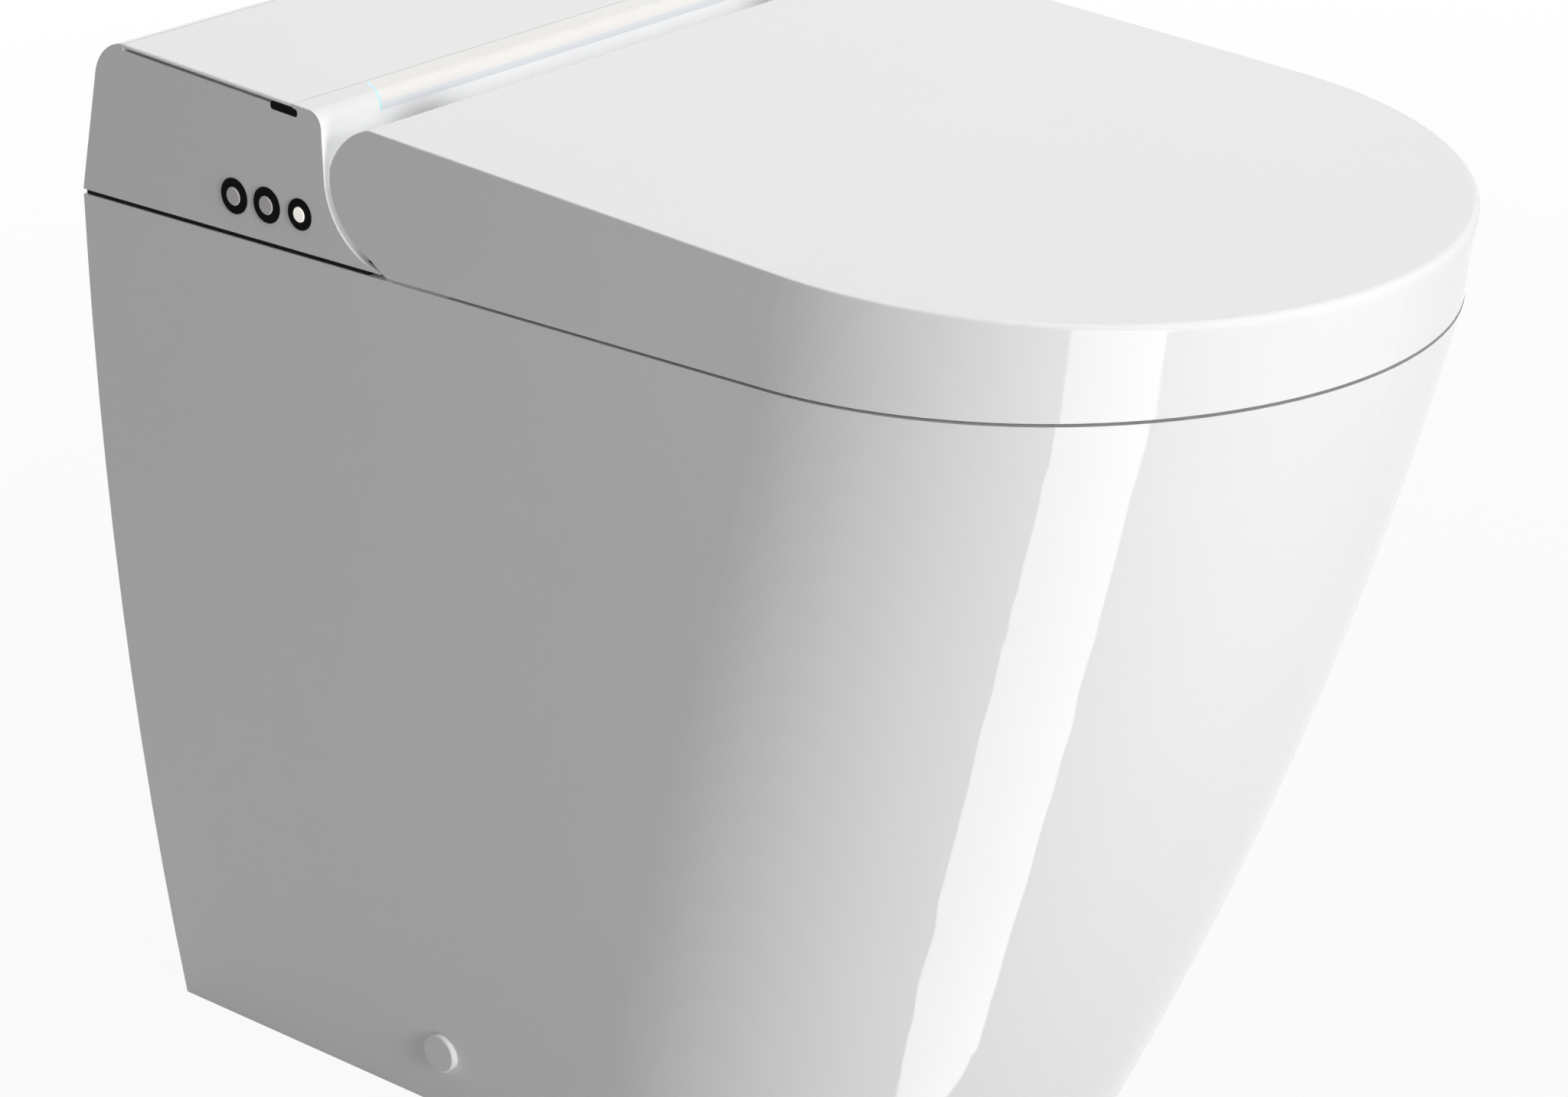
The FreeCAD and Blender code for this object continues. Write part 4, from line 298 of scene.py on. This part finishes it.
looks = {  # one entry for each finish in the record
    "bowl_glaze": (polishedFinish, dict(glaze, colour=(0.87, 0.87, 0.865))),
    "lid_white": (polishedFinish, dict(gloss, colour=(0.88, 0.88, 0.88))),
    "lid_lining": (polishedFinish, dict(satin, colour=(0.85, 0.85, 0.85))),
    "seat_white": (polishedFinish, dict(gloss, colour=(0.87, 0.87, 0.865), roughness=(0.1, 0.18))),
    "seat_base": (mouldedFinish, dict(moulded, colour=(0.8, 0.8, 0.8), roughness=(0.4, 0.55),
                                      grainScale=1600.0)),
    "seat_foil": (metalFinish, dict(metal, colour=(0.75, 0.5, 0.28), lines=(1, 8, 1), stain=0.8,
                                    roughness=(0.25, 0.4), metallic=0.9)),
    # the housing carries painted light on its hinge channel's wall
    "housing_white": (polishedFinish, dict(gloss, colour=(0.87, 0.87, 0.87), glow=paintedChannelLight)),
    "cover_white": (polishedFinish, dict(gloss, colour=(0.88, 0.88, 0.88))),
    # the bar's glow is painted light on its lower face
    "strip_cream": (barFinish, dict(upper=(0.92, 0.9, 0.87), lower=(0.57, 0.585, 0.61), edge=0.521,
                                    soft=0.0004, glow=0.42, hazeScale=40.0, drift=0.98,
                                    roughness=(0.12, 0.2), grainScale=900.0, grain=0.000004)),
    "light_cyan": (lightFinish, dict(colour=(0.42, 0.8, 0.88), glow=0.3, hazeScale=120.0, drift=0.9,
                                     smudgeScale=300.0, roughness=(0.12, 0.22))),
    "window_black": (polishedFinish, dict(gloss, colour=(0.006, 0.006, 0.007), drift=0.6, coat=0.0,
                                          specular=0.03)),
    "ring_black": (mouldedFinish, dict(moulded, colour=(0.005, 0.005, 0.0055), roughness=(0.3, 0.45),
                                       grainScale=2200.0, grain=0.00001, specular=0.02)),
    "button_white": (polishedFinish, dict(satin, colour=(0.86, 0.86, 0.86), glow=buttonGlow)),
    "button_dark": (polishedFinish, dict(satin, colour=(0.68, 0.65, 0.66))),
    "gasket_rubber": (rubberFinish, dict(rubber, colour=(0.008, 0.008, 0.008), bloom=0.01,
                                         roughness=(0.6, 0.8), specular=0.1)),
    "foot_rubber": (rubberFinish, dict(rubber, colour=(0.55, 0.55, 0.55), bloom=0.08)),
    "outlet_rubber": (rubberFinish, dict(rubber, colour=(0.03, 0.03, 0.03), roughness=(0.55, 0.75))),
    "chassis_grey": (mouldedFinish, dict(moulded, colour=(0.45, 0.46, 0.48), roughness=(0.4, 0.55),
                                         grainScale=1300.0, grain=0.00003)),
    "bolt_steel": (metalFinish, dict(metal, colour=(0.62, 0.62, 0.64), lines=(6, 6, 0.3),
                                     roughness=(0.22, 0.42))),
    "bracket_steel": (spangleFinish, dict(colour=(0.62, 0.63, 0.65), drift=0.7, flowerScale=140.0,
                                          roughness=(0.28, 0.5), grain=0.00005)),
    "cap_white": (polishedFinish, dict(gloss, colour=(0.86, 0.86, 0.86))),
    "shaft_steel": (metalFinish, dict(metal, colour=(0.75, 0.75, 0.77), lines=(8, 1, 1), stain=0.9,
                                      roughness=(0.08, 0.18))),
    "damper_black": (mouldedFinish, dict(moulded, colour=(0.05, 0.05, 0.055), grain=0.00003)),
    "board_green": (boardFinish, dict(colour=(0.015, 0.14, 0.06), track=(0.05, 0.24, 0.1), trackScale=60.0,
                                      trackWidth=0.012, smudgeScale=80.0, roughness=(0.25, 0.45),
                                      grain=0.00005)),
    "nozzle_white": (polishedFinish, dict(satin, colour=(0.84, 0.85, 0.86))),
    "gear_nylon": (mouldedFinish, dict(moulded, colour=(0.78, 0.76, 0.7), grainScale=1800.0, grain=0.00001)),
    "motor_metal": (metalFinish, dict(metal, colour=(0.5, 0.51, 0.53), lines=(0.4, 6, 6), stain=0.8)),
    "guide_grey": (mouldedFinish, dict(moulded, colour=(0.5, 0.52, 0.54))),
    "dryer_grey": (mouldedFinish, dict(moulded, colour=(0.36, 0.38, 0.4), roughness=(0.4, 0.55))),
    "flap_white": (polishedFinish, dict(satin, colour=(0.82, 0.82, 0.82))),
    "wheel_black": (mouldedFinish, dict(moulded, colour=(0.04, 0.04, 0.045), roughness=(0.4, 0.55),
                                        grainScale=1700.0)),
    "coil_metal": (metalFinish, dict(metal, colour=(0.6, 0.52, 0.46), lines=(1, 6, 1), stain=0.6,
                                     roughness=(0.3, 0.5))),
    "heater_case": (mouldedFinish, dict(moulded, colour=(0.7, 0.67, 0.6), roughness=(0.4, 0.55),
                                        grainScale=1400.0)),
    "valve_blue": (mouldedFinish, dict(moulded, colour=(0.06, 0.16, 0.38))),
    "nipple_brass": (metalFinish, dict(metal, colour=(0.72, 0.55, 0.25), lines=(0.4, 0.4, 30), stain=0.7,
                                       roughness=(0.2, 0.4))),
    "hose_clear": (hoseFinish, dict(colour=(0.74, 0.76, 0.78), drift=0.88, hazeScale=70.0,
                                    roughness=(0.25, 0.4), grainScale=400.0, grain=0.00003, milk=0.2,
                                    depth=(0.004, 0.004, 0.004))),
    "pipe_grey": (mouldedFinish, dict(moulded, colour=(0.6, 0.6, 0.6), grainScale=1400.0)),
    "supply_case": (mouldedFinish, dict(moulded, colour=(0.2, 0.2, 0.21), grainScale=1200.0, grain=0.00003)),
    "filter_case": (mouldedFinish, dict(moulded, colour=(0.16, 0.17, 0.16), roughness=(0.45, 0.6),
                                        grainScale=1100.0, grain=0.00004)),
    "gland_black": (rubberFinish, dict(rubber, colour=(0.02, 0.02, 0.02), bloom=0.03)),
}
finishes = {name: maker(name, look) for name, (maker, look) in looks.items()}
for part in frame["record"]["subparts"]:
    for materialSlot in nodes[part["node"]].material_slots:
        materialSlot.material = finishes[part["material_slot"]]
print("finishes set:", len(finishes))

# floor that turns to plain white away from the part
floorLook = dict(size=14.0, colour=(0.55, 0.55, 0.55), drift=0.985, fibreScale=160.0, roughness=0.85,
                 specular=0.1, paper=0.93, fadeStart=0.7, fadeEnd=2.2)
bpy.ops.mesh.primitive_plane_add(size=floorLook["size"], location=(0, 0, 0))
floor = bpy.context.object
floor.name = "floor"
paper, tree, shader = newFinish("floor_paper")
where = stretched(tree)
shader.inputs["Roughness"].default_value = floorLook["roughness"]
shader.inputs["Specular IOR Level"].default_value = floorLook["specular"]
fibre = cloud(tree, where, floorLook["fibreScale"], 4)
dark = dimmed(floorLook["colour"], floorLook["drift"])
tree.links.new(shades(tree, fibre, [(0.3, dark), (0.7, floorLook["colour"])]), shader.inputs["Base Color"])
white = addNode(tree, "ShaderNodeEmission", {"Color": (1, 1, 1, 1), "Strength": 1.0})
away = addNode(tree, "ShaderNodeVectorMath", operation="LENGTH")
tree.links.new(where, away.inputs[0])
fadeReach = (floorLook["fadeStart"], floorLook["fadeEnd"])
fade = spread(tree, away.outputs["Value"], floorLook["paper"], 1.0, *fadeReach)
share = combined(tree, "MULTIPLY", seenBy(tree, "Is Camera Ray", "Is Glossy Ray"), fade)
blend = addNode(tree, "ShaderNodeMixShader")
tree.links.new(share, blend.inputs["Fac"])
tree.links.new(shader.outputs["BSDF"], blend.inputs[1])
tree.links.new(white.outputs["Emission"], blend.inputs[2])
tree.links.new(blend.outputs["Shader"], tree.nodes["Material Output"].inputs["Surface"])
floor.data.materials.append(paper)
floor.visible_glossy = False  # gloss sees the white background through it

# white background with a dim fill
worldLook = dict(fill=(0.056, 0.056, 0.056), background=(1, 1, 1))
world = bpy.data.worlds.new("studio")
scene.world = world
world.use_nodes = True
tree = world.node_tree
backdrop = tree.nodes["Background"]
tone = addNode(tree, "ShaderNodeMix", data_type="RGBA")
tone.inputs["A"].default_value = (*worldLook["fill"], 1)
tone.inputs["B"].default_value = (*worldLook["background"], 1)
seen = seenBy(tree, "Is Camera Ray", "Is Glossy Ray", "Is Transmission Ray")
tree.links.new(seen, tone.inputs["Factor"])
tree.links.new(tone.outputs["Result"], backdrop.inputs["Color"])
backdrop.inputs["Strength"].default_value = 1.0
print("floor and background set")

# studio lights
lamps = {
    "overhead_softbox": dict(place=(0.2, 0.2, 2.6), aim=(0, 0, 0.45), size=(2.6, 2.6), power=42),
    "front_softbox": dict(place=(-0.7, -2.9, 1.0), aim=(0, -0.1, 0.25), size=(1.0, 1.6), power=66),
    "rear_softbox": dict(place=(2.2, 1.8, 1.6), aim=(0, 0.1, 0.3), size=(1.4, 1.4), power=12),
}
for name, lamp in lamps.items():
    light = bpy.data.lights.new(name, "AREA")
    light.shape = "RECTANGLE"
    light.size, light.size_y = lamp["size"]
    light.energy = lamp["power"]
    holder = bpy.data.objects.new(name, light)
    scene.collection.objects.link(holder)
    holder.location = lamp["place"]
    holder.rotation_mode = "QUATERNION"
    holder.rotation_quaternion = (Vector(lamp["aim"]) - Vector(lamp["place"])).to_track_quat("-Z", "Y")
    holder.visible_glossy = False

# tall strip softbox that only gloss sees: its edges run down both sides, as x and z in front of the part
strip = dict(y=-3.0, glow=3.8, steps=8,
             left=[(-2.8, 0.6), (-3.1, -2.4), (-2.75, -5.3), (-1.75, -7.85), (-1.25, -8.2)],
             right=[(-1.1, 0.6), (-1.0, -2.4), (-0.1, -5.3), (0.5, -6.75), (0.15, -7.75)])
leftEdge = smoothed(strip["left"], strip["steps"])
rightEdge = smoothed(strip["right"], strip["steps"])
bpy.ops.mesh.primitive_grid_add(x_subdivisions=1, y_subdivisions=len(leftEdge) - 1, size=1)
softbox = bpy.context.object
softbox.name = "strip_softbox"
rows = sorted({round(vert.co.y, 4) for vert in softbox.data.vertices}, reverse=True)
for vert in softbox.data.vertices:
    edge = leftEdge if vert.co.x < 0 else rightEdge
    x, z = edge[rows.index(round(vert.co.y, 4))]
    vert.co = (x, strip["y"], z)
glow, tree, shader = newFinish("strip_glow")
emitter = addNode(tree, "ShaderNodeEmission", {"Color": (1, 1, 1, 1), "Strength": strip["glow"]})
tree.links.new(emitter.outputs["Emission"], tree.nodes["Material Output"].inputs["Surface"])
softbox.data.materials.append(glow)
for ray in ("camera", "diffuse", "transmission", "shadow"):
    setattr(softbox, f"visible_{ray}", False)
print("lights set:", len(lamps) + 1)

# camera at the photograph's angle
view = dict(place=(-1.52102, -1.29441, 1.1137), ahead=(0.695161, 0.60852, -0.382694), roll=0.813, lens=101.42,
            sensor=36, farthest=50)
lensData = bpy.data.cameras.new("camera")
lensData.sensor_width = view["sensor"]
lensData.lens = view["lens"]
lensData.clip_end = view["farthest"]
camera = bpy.data.objects.new("camera", lensData)
scene.collection.objects.link(camera)
ahead = Vector(view["ahead"]).normalized()
level = ahead.to_track_quat("-Z", "Y")
camera.rotation_mode = "QUATERNION"
camera.rotation_quaternion = Quaternion(ahead, math.radians(view["roll"])) @ level
camera.location = view["place"]
scene.camera = camera
scene.view_settings.view_transform = "Standard"
print("camera set")

print("scene complete")
